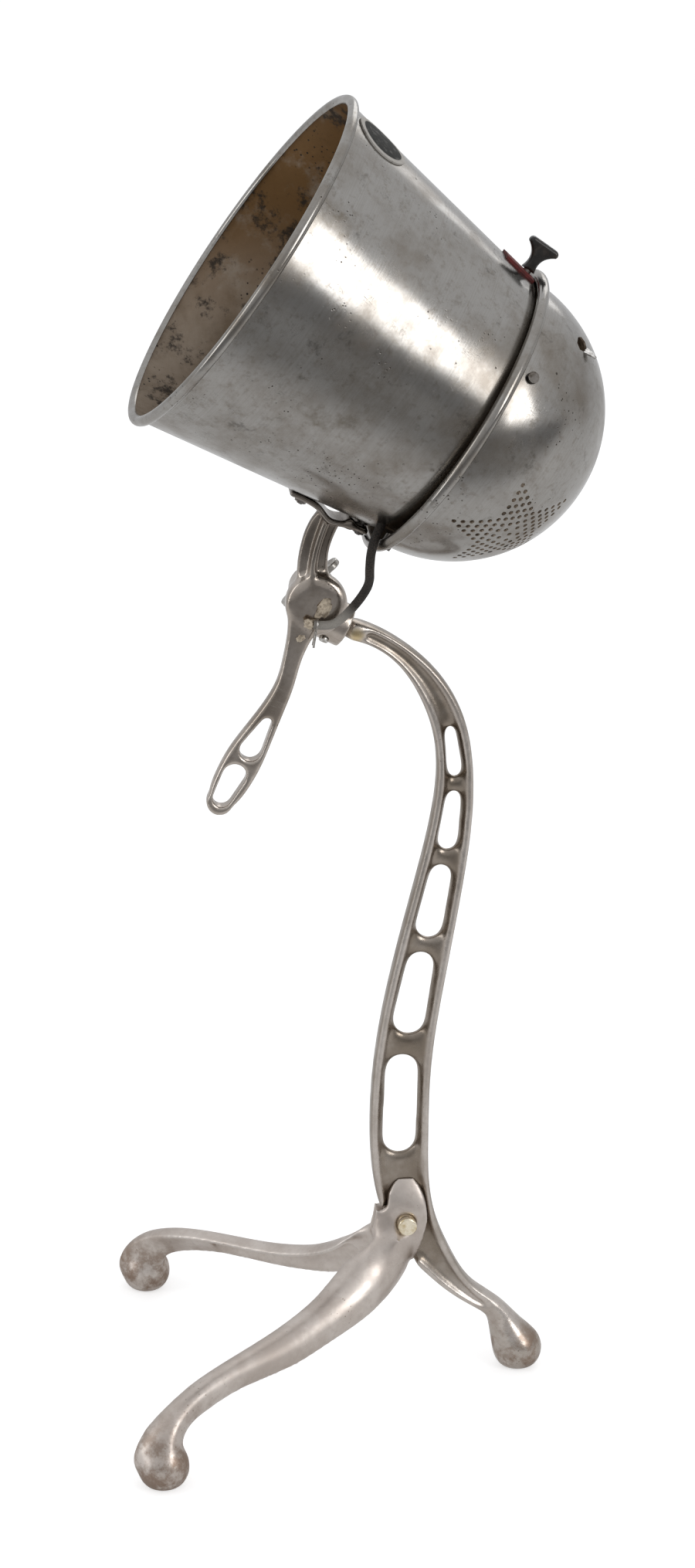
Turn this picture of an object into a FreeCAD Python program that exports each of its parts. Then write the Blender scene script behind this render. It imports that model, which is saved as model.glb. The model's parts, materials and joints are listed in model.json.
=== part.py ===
import FreeCAD, Part
import math
import os

# Table-top therapy lamp of about 1920: an aluminium reflector with a vented dome, tilting and swivelling
# on a cast three-legged stand. Millimetres. X runs to the right of the side view, Y away from the viewer,
# Z up. The stand is laid out with x = 0 near the foot of the stem and y = 0 in the stem's middle plane.

V = FreeCAD.Vector
X, Y, Z = V(1, 0, 0), V(0, 1, 0), V(0, 0, 1)

# Clearances
running_fit = 0.05          # radial, shaft in a bearing
fixed_fit = 0.02            # radial, pins and studs that do not turn
seat_gap = 0.05             # between pieces that are screwed together
joint_gap = 0.3             # between faces that slide past each other

# Tilt pivot, swivel axis and head
pivot_x, pivot_z = -48.0, 464.0
head_angle = 35.6          # how far the mouth is raised
axis_y = -19.0              # the reflector's axis, from the pivot, towards the viewer
ring_height = 51.7          # the reflector's narrow end above the pivot, across its axis
swivel_slope = 28.0         # fall of the swivel axis towards the stem
swivel_drop = 8.5           # swivel axis below the pivot

# Knuckle
barrel_radius = 11.75
barrel_start, barrel_end = -4.0, 24.0    # along the swivel axis, from below the pivot
lug_radius = 12.5
knuckle_half_depth = 12.0
tenon_radius = 5.0
tenon_length = 16.0
groove_from_shoulder = 9.0
groove_width = 4.0
groove_depth = 1.0
swivel_screw_radius = 1.7
swivel_screw_head_radius = 2.6
swivel_screw_head_height = 1.2
swivel_screw_turn = 55.0    # round the barrel, from the viewer's side downwards

# Pivot stud, washer and wing nut
stud_radius = 4.0
stud_in_hub = 7.0
stud_past_nut = 3.0
washer_radius, washer_thickness = 9.0, 1.5
nut_radius, nut_height = 7.0, 9.0
wing_reach = 19.0
wing_lobe_radius = 5.0
wing_root_radius = 4.0
wing_rise = 2.5
wing_thickness = 3.6
wing_turn = 39.0            # slope of the wings in the side view

# Stem casting
stem_depth = 16.0           # front to back, over the flanges
stem_edge_round = 1.4
web_thickness = 6.0         # in the sunk panels
seat_web_thickness = 4.0    # between the two leg ears
collar_radius = 5.8
collar_length = 4.0
neck_lift = 1.6             # rise of the stem's neck above the swivel axis
# Middle line from the collar to the right foot: x, z, width over the flanges, width of the sunk panel
stem_line = [
    (-0.1, 428.7, 11.2, 5.4),
    (15.8, 408.8, 16.0, 7.6),
    (25.4, 385.0, 18.6, 9.4),
    (27.9, 367.0, 19.6, 10.6),
    (27.1, 341.0, 22.0, 13.0),
    (20.2, 299.0, 26.1, 17.4),
    (8.9, 244.0, 30.2, 21.0),
    (0.7, 192.0, 32.1, 23.0),
    (-1.1, 148.0, 32.8, 23.8),
    (0.9, 116.0, 30.5, 22.5),
    (7.5, 91.7, 26.6, 18.8),
    (21.3, 67.9, 19.0, 10.6),
    (37.5, 49.1, 12.0, 4.8),
    (51.6, 38.8, 11.2, 1.2),
]
panel_top = 10.0            # distance of the top panel from the stem's shoulder
# Slots through the web: height of the top and bottom ends, width at the top and at the bottom
stem_slots = [
    (388.0, 359.0, 5.0, 7.4),
    (351.0, 317.0, 7.4, 10.0),
    (308.0, 266.0, 11.0, 14.0),
    (257.0, 209.0, 14.0, 17.0),
    (196.0, 137.0, 17.0, 17.6),
]

# Feet
foot_radius = 14.5
pad_radius = 9.5            # flat underneath
foot_neck_radius = 5.6
right_foot_x = 67.5
right_foot_neck = (53.6, 38.4)    # where the right leg runs into its foot: x, z

# Legs: a pinned ear in the stem's web, then a tapering half-round shell down to the foot
pin_x, pin_z = 2.7, 96.0
pin_radius = 4.0
pin_head_radius, pin_head_height = 5.3, 3.3
pin_nut_across, pin_nut_height = 10.0, 4.5
ear_face = 10.5             # front of the ear, from the stem's middle plane
ear_dome_radius = 48.0      # the ear's outer face is slightly domed
ear_fit = 0.4               # round the ear in its seat
# Middle line of the leg, down into its foot: x, y, z, width, thickness, roll of the section about the line
leg_line = [
    (-2.6, -6.4, 90.0, 25.0, 8.6, 0.0),
    (-8.0, -11.2, 75.0, 35.5, 10.8, 12.0),
    (-19.4, -19.0, 68.2, 32.5, 11.0, 34.0),
    (-34.5, -29.9, 59.1, 28.4, 11.0, 44.0),
    (-56.8, -47.1, 51.0, 23.7, 10.0, 46.0),
    (-79.4, -64.9, 47.2, 20.8, 9.0, 46.0),
    (-100.4, -80.9, 45.0, 17.4, 9.0, 43.0),
    (-116.6, -94.0, 41.2, 16.8, 10.0, 38.0),
    (-128.0, -103.9, 36.0, 17.4, 12.4, 28.0),
    (-136.7, -111.8, 26.6, 22.5, 17.5, 14.0),
    (-140.1, -114.8, 14.5, 26.5, 22.0, 4.0),
    (-140.0, -114.7, 5.0, 17.0, 15.0, 0.0),
]
leg_foot = (-139.9, -114.6)    # middle of the foot: x, y
leg_ridge = 0.10            # height of the ridge on the leg's outer side, as a share of its height
leg_wall = 3.0
leg_places_in_stem = 4      # so many places of leg_line lie beside the stem
leg_hollow = (2, 6)         # first and last places of leg_line that are hollow inside

# Handle casting: hub, arm up to the strap, and a pierced grip
hub_radius = 16.5
hub_face = 24.0             # from the stem's middle plane
hub_rise = 1.2              # raised face on the hub
hub_raised_radius = 13.4
hub_edge_round = 1.2
grip_thickness = 9.5
grip_edge_round = 2.2
# Middle line of the grip: x, z, width
grip_line = [
    (0.0, -10.0, 20.0),
    (3.5, -22.0, 12.2),
    (6.9, -32.0, 9.8),
    (11.5, -44.8, 9.6),
    (14.0, -57.7, 11.4),
    (15.4, -69.6, 14.4),
    (16.6, -81.4, 17.8),
    (17.9, -93.3, 20.0),
    (19.1, -103.3, 19.6),
    (20.0, -111.5, 17.6),
    (20.5, -117.4, 14.2),
]
grip_end = 125.2            # reach below the pivot
# Holes through the grip: x, z and radius of the upper end, then of the lower end
grip_holes = [
    (15.6, -67.6, 2.9, 17.2, -84.6, 6.0),
    (18.2, -101.2, 6.4, 20.0, -115.2, 5.0),
]
arm_thickness = 6.0
arm_back = 14.0             # back of the arm's plate, from the stem's middle plane
arm_edge_round = 1.4
# Middle lines of the arm and of its rib: x, share of the height from the pivot to the strap, and the width
arm_line = [
    (-5.0, 0.12, 18.0),
    (-12.0, 0.32, 16.5),
    (-17.4, 0.54, 15.2),
    (-20.8, 0.79, 15.0),
    (-21.4, 1.0, 13.4),
]
rib_width = 3.2
rib_line = [(-8.0, 0.17), (-13.0, 0.33), (-17.2, 0.52), (-20.6, 0.74), (-23.0, 0.95)]
strap_thickness = 3.2
strap_width = 22.0
# The strap's middle line under the reflector: x and distance below the wall
strap_line = [(-48.0, 1.8), (-37.0, 1.8), (-30.0, 3.2), (-22.0, 6.7), (-15.0, 5.1), (-9.8, 4.1),
              (-6.0, 3.9), (-2.4, 3.9)]
boss_x, boss_radius, boss_drop = -12.6, 3.2, 3.7
strap_screws_x = (-40.0, -5.8)
screw_radius = 1.5
screw_head_radius, screw_head_height = 3.0, 1.6
screw_nut_across, screw_nut_height = 5.5, 2.4
screw_past_nut = 0.8
strap_washer_radius = 3.0

# Reflector, sized by the dome that covers its narrow end
dome_radius = 78.0
neck_room = 3.2             # between the neck and the dome, at the rim
mouth_x, mouth_radius = -139.4, 96.4
ring_x, ring_radius = -3.9, dome_radius - neck_room
axis_z = ring_height + ring_radius
neck_x = 15.0               # end of the neck inside the dome
sheet = 0.9                 # thickness of the spun sheet
mouth_bead_radius = 2.8
mouth_slot_x, mouth_slot_length, mouth_slot_width = -123.5, 12.0, 3.6
mouth_slot_turn = 168.0     # round the axis, from the top towards the viewer
badge_x, badge_radius, badge_thickness = -116.4, 15.3, 0.9
badge_turn = 11.0           # round the axis, from the top towards the viewer

# Dome
dome_bead_radius = 3.1
dome_x = -1.6               # its rim's middle
dome_drop = 1.8             # it sits low on the neck
dome_lean = 2.5             # it gapes a little at the bottom, where the cord comes out
vent_radius = 1.25
vent_steps = 5              # from the tip of each of the star's points to its base
middle_rings = [1, 3, 5]    # holes on each side of the five-sided rings in the star's middle
star_from_axis, star_turn = 53.0, 119.7
star_reach = 34.4
star_waist = 16.6           # inner corners, from the star's middle
bead_overlap = 0.4          # how far a rolled bead runs into its wall

# Screws through dome, neck and socket bracket
rim_screw_x = 7.4          # from the rim, measured along the leaning dome
rim_screw_turn = 56.7       # the first of three
rim_screw_count = 3
rim_screw_radius = 1.5
rim_screw_head_radius, rim_screw_head_height = 3.0, 1.8
spacer_radius = 3.6
spacer_end_gap = 0.1

# Socket bracket
bracket_x = 16.0
bracket_sheet = 1.6
bracket_arm = 12.0
bracket_hub_radius = 16.0
bracket_tab_x = 0.0
bracket_wall_gap = 0.25

# Lamp socket, along the reflector's axis
nipple_radius, nipple_bore = 4.9, 3.0
nipple_front, nipple_back = 5.0, 25.0
locknut_across, locknut_height = 15.0, 3.0
cap_collar_radius, cap_collar_x = 7.0, 10.0
cap_front_x = -2.0
cap_radius = 18.6
shell_radius, shell_front_x = 17.8, -42.0
socket_sheet = 0.7
liner_thickness = 0.9
core_back_x, core_front_x = -1.0, -17.0
screw_shell_radius, screw_shell_front_x = 14.3, -40.0
contact_radius, contact_height = 4.0, 1.6

# Switch key on top
key_x = -13.5
key_shaft_radius = 2.2
key_shaft_start = 6.0       # inside the socket's core
key_gap, key_height = 0.9, 16.1    # the key's foot above the dome's radius, and its own height
key_base = dome_radius + key_gap
key_top = key_base + key_height
key_width, key_neck, key_thickness = 16.8, 6.6, 5.6
key_head_round = 1.7
key_bore_depth = 6.0
fibre_start_x, fibre_end_x, fibre_half_width = -28.0, -9.0, 8.0
fibre_thickness = 1.6
key_hole_radius = 4.0

# Bulb
bulb_base_radius, bulb_base_length = 13.3, 22.0
bulb_base_sheet = 0.6
bulb_neck_radius, bulb_radius = 12.4, 29.0
bulb_middle_x = -74.0
bulb_shoulder = 20.0        # radius of the hollow curve between bulb and neck
bulb_neck_in_base = 9.0
bulb_glass_wall = 0.8
bulb_stem_radius, bulb_stem_end_x = 4.5, -58.0
filament_radius, filament_spread, filament_end_x = 0.45, 9.0, -88.0

# Cord: from the notch in the neck to its cut end tied at the hub. Points from the pivot, in the head's frame.
cord_diameter = 4.8
cord_turn = 152.0           # where it leaves, round the axis from the top towards the viewer
cord_exit_x = -5.8
notch_width = 6.4
cord_start_radius = 66.5    # where it meets the socket's own lead
cord_first_run = 11.0
cord_route = [
    (-3.0, -56.9, 47.4),
    (3.0, -53.9, 37.9),
    (9.6, -46.5, 30.2),
    (12.2, -40.0, 21.1),
    (13.3, -34.0, 11.8),
    (13.2, -30.2, 3.4),
    (10.4, -29.2, -4.4),
    (3.0, -29.1, -8.0),
]
# The lead inside the dome: x, distance from the reflector's axis
lead_route = [(36.0, 4.0), (44.0, 14.0), (43.0, 27.0), (33.0, 36.0), (16.0, 36.5)]
lead_turn_out = 47.5        # where the lead turns outwards to the notch
tie_wire_radius = 0.6
tie_turn_gap = 0.15
tie_at = 0.8                # along the cord's last run
tie_tail = 9.0


def in_head(shape):
    """Place a shape made in the head's frame, whose origin is the tilt pivot."""
    turned = shape.copy()
    turned.rotate(V(0, 0, 0), Y, head_angle)
    turned.translate(V(pivot_x, 0, pivot_z))
    return turned


def on_axis(shape):
    """Place a shape made round the X axis on the reflector's axis."""
    moved = shape.copy()
    moved.translate(V(0, axis_y, axis_z))
    return in_head(moved)


def turned_about_x(shape, turn):
    """Turn a shape round the reflector's axis, from the top towards the viewer."""
    moved = shape.copy()
    moved.rotate(V(0, 0, 0), X, turn)
    return moved


def rod(start, end, radius):
    """Round rod between two points."""
    along = end - start
    return Part.makeCylinder(radius, along.Length, start, along)


def ring(start, end, outer, inner):
    return rod(start, end, outer).cut(rod(start, end, inner))


def hexagon(start, end, across):
    """Hexagonal bar between two points."""
    along = end - start
    side = along.cross(Y)
    if side.Length < 0.1 * along.Length:
        side = along.cross(X)
    corner = side.normalize() * (across / math.sqrt(3))
    spin = FreeCAD.Rotation(along, 60)
    corners = [corner]
    for step in range(6):
        corners.append(spin.multVec(corners[-1]))
    face = Part.Face(Part.makePolygon([start + c for c in corners]))
    return face.extrude(along)


def revolved(points):
    """Solid of revolution about the X axis from a closed outline of (x, radius) corners."""
    corners = [V(x, 0, r) for x, r in points]
    return Part.Face(Part.makePolygon(corners + corners[:1])).revolve(V(0, 0, 0), X, 360)


def through(points):
    """Smooth curve through points."""
    curve = Part.BSplineCurve()
    curve.interpolate(points)
    return curve


def sides_of(line):
    """The two edges of a band, from its middle line of (x, z, width)."""
    middle = through([V(x, 0, z) for x, z, width in line])
    left, right = [], []
    for x, z, width in line:
        point = V(x, 0, z)
        tangent = middle.tangent(middle.parameter(point))[0]
        half = tangent.cross(Y).normalize() * (width / 2)
        left.append(point + half)
        right.append(point - half)
    return left, right


def band(line, near, far, tip=None):
    """Plate of varying width along a middle line, between two depths, with a rounded tip if given."""
    left, right = sides_of(line)
    edges = [through(left).toShape(), through(right).toShape(), Part.makeLine(left[0], right[0])]
    if tip is None:
        edges.append(Part.makeLine(left[-1], right[-1]))
    else:
        edges.append(Part.Arc(left[-1], tip, right[-1]).toShape())
    face = Part.Face(Part.Wire(Part.sortEdges(edges)[0]))
    face.translate(V(0, near, 0))
    return face.extrude(V(0, far - near, 0))


def tapered_slot(first, first_radius, second, second_radius, near, far):
    """Prism over the hull of two circles in the X-Z plane."""
    along = second - first
    lean = (first_radius - second_radius) / along.Length
    u = V(along).normalize()
    w = u.cross(Y)
    up = u * lean + w * math.sqrt(1 - lean * lean)
    down = u * lean - w * math.sqrt(1 - lean * lean)
    a, b = first + up * first_radius, second + up * second_radius
    c, d = second + down * second_radius, first + down * first_radius
    edges = [
        Part.makeLine(a, b),
        Part.Arc(b, second + u * second_radius, c).toShape(),
        Part.makeLine(c, d),
        Part.Arc(d, first - u * first_radius, a).toShape(),
    ]
    face = Part.Face(Part.Wire(edges))
    face.translate(V(0, near, 0))
    return face.extrude(V(0, far - near, 0))


def rounded(solid, radius, wanted):
    """Round the edges of a solid that the test picks."""
    return solid.makeFillet(radius, [edge for edge in solid.Edges if wanted(edge)])


def at_depth(depth):
    """Test for edges that lie in the plane y = depth."""
    def wanted(edge):
        return all(abs(vertex.Y - depth) < 0.01 for vertex in edge.Vertexes) and \
            abs(edge.CenterOfMass.y - depth) < 0.01
    return wanted


def long_at_depth(depth, length):
    """Test for long edges in the plane y = depth."""
    flat = at_depth(depth)
    return lambda edge: flat(edge) and edge.Length > length


def mirrored(shape):
    return shape.mirror(V(0, 0, 0), Y)


# The swivel axis runs down to the right from a point below the pivot
swivel_along = V(math.cos(math.radians(swivel_slope)), 0, -math.sin(math.radians(swivel_slope)))
swivel_down = V(-math.sin(math.radians(swivel_slope)), 0, -math.cos(math.radians(swivel_slope)))
pivot = V(pivot_x, 0, pivot_z)
swivel_foot = pivot + swivel_down * swivel_drop
shoulder = barrel_end + joint_gap


def on_swivel(distance):
    return swivel_foot + swivel_along * distance


def full_stem_line():
    """The middle line with its straight start on the swivel axis and its end in the foot."""
    start = on_swivel(shoulder + collar_length / 2)
    second = on_swivel(shoulder + panel_top) - swivel_down * neck_lift
    width = 2 * collar_radius
    first_rows = [(start.x, start.z, width, 0.0), (second.x, second.z, 0.9 * width, 5.0)]
    foot_row = (right_foot_x - foot_neck_radius, foot_centre_height() + foot_radius, stem_line[-1][2], 0.0)
    return first_rows + stem_line + [foot_row]


def foot_centre_height():
    return math.sqrt(foot_radius ** 2 - pad_radius ** 2)


def foot(x, y, neck):
    """Pear-shaped foot with a flat pad: a ball drawn out along the leg that it ends."""
    centre = V(x, y, foot_centre_height())
    along = neck - centre
    length = along.Length
    lean = (foot_radius - foot_neck_radius) / length
    rise = math.sqrt(1 - lean * lean)
    start, middle = V(-foot_radius, 0, 0), V(0, 0, foot_radius)
    tangent = V(foot_radius * lean, 0, foot_radius * rise)
    neck_edge = V(length + foot_neck_radius * lean, 0, foot_neck_radius * rise)
    back = V(-foot_radius * math.sqrt(0.5), 0, foot_radius * math.sqrt(0.5))
    edges = [
        Part.Arc(start, back, tangent).toShape(),
        Part.makeLine(tangent, neck_edge),
        Part.makeLine(neck_edge, V(neck_edge.x, 0, 0)),
        Part.makeLine(V(neck_edge.x, 0, 0), start),
    ]
    pear = Part.Face(Part.Wire(edges)).revolve(V(0, 0, 0), X, 360)
    pear.Placement = FreeCAD.Placement(centre, FreeCAD.Rotation(X, along)).multiply(pear.Placement)
    below = Part.makeBox(4 * foot_radius, 4 * foot_radius, 2 * foot_radius)
    below.translate(V(x - 2 * foot_radius, y - 2 * foot_radius, -2 * foot_radius))
    return pear.cut(below)


def ear_outline(grow=0.0):
    """Outline of the leg's ear: horn, notch round the flange's end, oval top, side down to the leg."""
    middle = V(pin_x, 0, pin_z)

    def at(x, z):
        point = V(x, 0, z)
        return point + (point - middle).normalize() * grow

    horn, notch, root = at(-15.1, 106.2), at(-12.4, 103.6), at(-9.2, 105.6)
    corner, inner, outer = at(7.8, 69.4), at(-9.0, 70.0), at(-21.0, 88.0)
    side = through([root, at(-7.3, 113.5), at(-3.2, 120.8), at(2.8, 124.6), at(9.6, 118.6),
                    at(13.6, 108.0), at(14.4, 97.0), at(12.9, 86.0), corner])
    edges = [
        Part.Arc(horn, notch, root).toShape(),
        side.toShape(),
        Part.makeLine(corner, inner),
        Part.makeLine(inner, outer),
        Part.makeLine(outer, horn),
    ]
    return Part.Face(Part.Wire(edges))


def ear_seat():
    """Prism that clears the ear, with the pointed arch of its seat above it."""
    prism = ear_outline(ear_fit).extrude(V(0, -stem_depth, 0))
    arch = Part.makePolygon([V(-9.6, 0, 112.0), V(-8.6, 0, 116.0), V(1.0, 0, 129.4), V(12.2, 0, 120.6),
                             V(14.0, 0, 108.0), V(-9.6, 0, 112.0)])
    return prism.fuse(Part.Face(arch).extrude(V(0, -stem_depth, 0)))


def stem():
    line = full_stem_line()
    half = stem_depth / 2
    casting = band([(x, z, width) for x, z, width, panel in line], -half, half)
    for depth in (-half, half):
        casting = rounded(casting, stem_edge_round, long_at_depth(depth, 2 * stem_depth))
    casting = casting.fuse(foot(right_foot_x, 0.0, V(right_foot_neck[0], 0, right_foot_neck[1])))
    casting = casting.fuse(rod(on_swivel(shoulder), on_swivel(shoulder + collar_length), collar_radius))
    casting = casting.fuse(rod(on_swivel(shoulder - tenon_length), on_swivel(shoulder + 1), tenon_radius))
    groove = shoulder - groove_from_shoulder
    casting = casting.cut(ring(on_swivel(groove - groove_width / 2), on_swivel(groove + groove_width / 2),
                               tenon_radius + 1, tenon_radius - groove_depth))
    panel = band([(x, z, panel) for x, z, width, panel in line if panel > 0], -half - 1, -web_thickness / 2)
    seat = ear_seat()
    seat.translate(V(0, -seat_web_thickness / 2, 0))
    leg_room = half_space(leg_shaft(range(leg_places_in_stem), ear_fit), -seat_web_thickness / 2)
    cutters = [panel, mirrored(panel), seat, mirrored(seat), leg_room, mirrored(leg_room)]
    middle = through([V(x, 0, z) for x, z, width, panel in line])
    for top, bottom, top_width, bottom_width in stem_slots:
        ends = []
        for height in (top - top_width / 2, bottom + bottom_width / 2):
            level = Part.Plane(V(0, 0, height), Z)
            ends.append(V(middle.toShape().Curve.intersect(level)[0][0].toShape().Point))
        cutters.append(tapered_slot(ends[0], top_width / 2, ends[1], bottom_width / 2, -half, half))
    cutters.append(rod(V(pin_x, -half, pin_z), V(pin_x, half, pin_z), pin_radius + fixed_fit))
    return casting.cut(cutters)


def leg_section(point, tangent, width, thickness, roll, inset=0.0):
    """One outline across the leg: flat inside, two arcs meeting at a low ridge outside."""
    out = Z.cross(tangent).normalize()
    out = FreeCAD.Rotation(tangent, roll).multVec(out)
    up = tangent.cross(out)
    flat = -thickness / 2 - inset
    face = thickness / 2 - inset
    half = width / 2 - inset
    ridge = leg_ridge * width

    def at(across, rise):
        return point + out * across + up * rise

    depth = face - flat
    top, bottom, crest = at(flat, half), at(flat, -half), at(face, ridge)
    upper = at(flat + 0.72 * depth, ridge + 0.68 * (half - ridge))
    lower = at(flat + 0.72 * depth, ridge - 0.68 * (half + ridge))
    return Part.Wire([
        Part.Arc(top, upper, crest).toShape(),
        Part.Arc(crest, lower, bottom).toShape(),
        Part.makeLine(bottom, top),
    ])


def leg_shaft(places, grow=0.0):
    """The leg without its ear, over some places of its middle line; grown, it cuts its room in the stem."""
    points = [V(x, y, z) for x, y, z, width, thickness, roll in leg_line]
    middle = through(points)
    sections, hollow = [], []
    for index in places:
        x, y, z, width, thickness, roll = leg_line[index]
        tangent = middle.tangent(middle.parameter(points[index]))[0]
        sections.append(leg_section(points[index], tangent, width + 2 * grow, thickness + 2 * grow, roll))
        if leg_hollow[0] <= index <= leg_hollow[1] and not grow:
            hollow.append(leg_section(points[index], tangent, width, thickness, roll, leg_wall))
    shaft = Part.makeLoft(sections, True)
    return shaft.cut(Part.makeLoft(hollow, True)) if hollow else shaft


def half_space(shape, depth):
    """The part of a shape nearer to the viewer than a depth."""
    size = 2 * shape.BoundBox.DiagonalLength
    block = Part.makeBox(size, size, size, shape.BoundBox.Center - V(size / 2, 0, size / 2))
    block.translate(V(0, depth - shape.BoundBox.Center.y, 0))
    return shape.cut(block)


def front_leg():
    inner = -seat_web_thickness / 2 - seat_gap
    shaft = half_space(leg_shaft(range(len(leg_line))), inner)
    ear = ear_outline()
    ear.translate(V(0, inner, 0))
    ear = ear.extrude(V(0, -ear_face - inner, 0))
    ear = ear.common(Part.makeSphere(ear_dome_radius, V(pin_x, ear_dome_radius - ear_face, pin_z)))
    ball = Part.makeSphere(foot_radius, V(*leg_foot, foot_centre_height()))
    shell = ear.fuse([shaft, ball])
    below = Part.makeBox(4 * foot_radius, 4 * foot_radius, 2 * foot_radius)
    below.translate(V(*leg_foot, 0) - V(2 * foot_radius, 2 * foot_radius, 2 * foot_radius))
    hole = rod(V(pin_x, -2 * ear_face, pin_z), V(pin_x, 0, pin_z), pin_radius + fixed_fit)
    spot_radius = max(pin_head_radius, pin_nut_across / math.sqrt(3)) + joint_gap
    spot_face = rod(V(pin_x, -2 * ear_face, pin_z), V(pin_x, -ear_face, pin_z), spot_radius)
    return shell.cut([hole, spot_face, below]).removeSplitter()


def leg_pin():
    """Brass pin with a low domed head through both ears and the web."""
    seat = V(pin_x, -ear_face - seat_gap, pin_z)
    shank = rod(seat, V(pin_x, ear_face + pin_nut_height + 1, pin_z), pin_radius)
    head = rod(seat, V(pin_x, -ear_face - pin_head_height, pin_z), pin_head_radius)
    head = rounded(head, 1.0, at_depth(-ear_face - pin_head_height))
    return shank.fuse(head)


def leg_nut():
    near, far = ear_face + seat_gap, ear_face + pin_nut_height
    body = hexagon(V(pin_x, near, pin_z), V(pin_x, far, pin_z), pin_nut_across)
    return body.cut(rod(V(pin_x, near, pin_z), V(pin_x, far, pin_z), pin_radius + fixed_fit))


def swivel_screw_axis():
    """Where the retaining screw stands on the swivel axis, and which way it comes out."""
    turn = math.radians(swivel_screw_turn)
    out = swivel_down * math.sin(turn) - Y * math.cos(turn)
    return on_swivel(shoulder - groove_from_shoulder), out


def knuckle():
    depth = knuckle_half_depth
    barrel = rod(on_swivel(barrel_start), on_swivel(barrel_end), barrel_radius)
    lug = rod(pivot - Y * depth, pivot + Y * depth, lug_radius)
    body = barrel.fuse(lug).removeSplitter()
    bore = rod(on_swivel(shoulder - tenon_length - 1), on_swivel(barrel_end), tenon_radius + running_fit)
    stud_hole = rod(pivot - Y * depth, pivot + Y * depth, stud_radius + running_fit)
    start, out = swivel_screw_axis()
    screw_hole = rod(start, start + out * 2 * barrel_radius, swivel_screw_radius + fixed_fit)
    return body.cut([bore, stud_hole, screw_hole])


def swivel_screw():
    """Set screw whose tip runs in the groove of the stem's tenon."""
    start, out = swivel_screw_axis()
    tip = start + out * (tenon_radius - groove_depth + joint_gap)
    seat = start + out * (barrel_radius + seat_gap)
    top = start + out * (barrel_radius + seat_gap + swivel_screw_head_height)
    return rod(tip, seat, swivel_screw_radius).fuse(rod(seat, top, swivel_screw_head_radius))


def washer_near():
    return knuckle_half_depth + seat_gap


def nut_near():
    return washer_near() + washer_thickness + seat_gap


def pivot_stud():
    near = -(knuckle_half_depth + joint_gap) - stud_in_hub
    return in_head(rod(Y * near, Y * (nut_near() + nut_height + stud_past_nut), stud_radius))


def pivot_washer():
    near = washer_near()
    return in_head(ring(Y * near, Y * (near + washer_thickness), washer_radius, stud_radius + fixed_fit))


def wing_nut():
    near, far = nut_near(), nut_near() + nut_height
    body = rod(Y * near, Y * far, nut_radius)
    wings = []
    for side in (-1, 1):
        root = V(side * wing_root_radius, 0, near + wing_root_radius)
        lobe = V(side * (wing_reach - wing_lobe_radius), 0, near + wing_root_radius + wing_rise)
        half = wing_thickness / 2
        wing = tapered_slot(root, wing_root_radius, lobe, wing_lobe_radius, -half, half)
        wing.rotate(V(0, 0, 0), X, -90)
        wings.append(rounded(wing, wing_thickness / 4, lambda edge: edge.Length > wing_thickness * 1.5))
    nut = body.fuse(wings).cut(rod(Y * near, Y * (far + wing_reach), stud_radius + running_fit))
    nut.rotate(V(0, 0, 0), Y, -wing_turn)
    nut.translate(pivot)
    return nut


def wall_radius(x):
    """Outer radius of the reflector's wall."""
    return mouth_radius + (ring_radius - mouth_radius) * (x - mouth_x) / (ring_x - mouth_x)


def wall_tilt():
    """Slope of the reflector's wall against its axis, in degrees."""
    return math.degrees(math.atan2(mouth_radius - ring_radius, ring_x - mouth_x))


def wall_layer(start, end, low, high):
    """Ring on the reflector's wall between two heights above its outside."""
    return revolved([(start, wall_radius(start) + low), (end, wall_radius(end) + low),
                     (end, wall_radius(end) + high), (start, wall_radius(start) + high)])


def below_wall(x, drop):
    """Point in the head's frame under the reflector, a distance below its wall."""
    return V(x, 0, axis_z - wall_radius(x) - drop)


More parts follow.
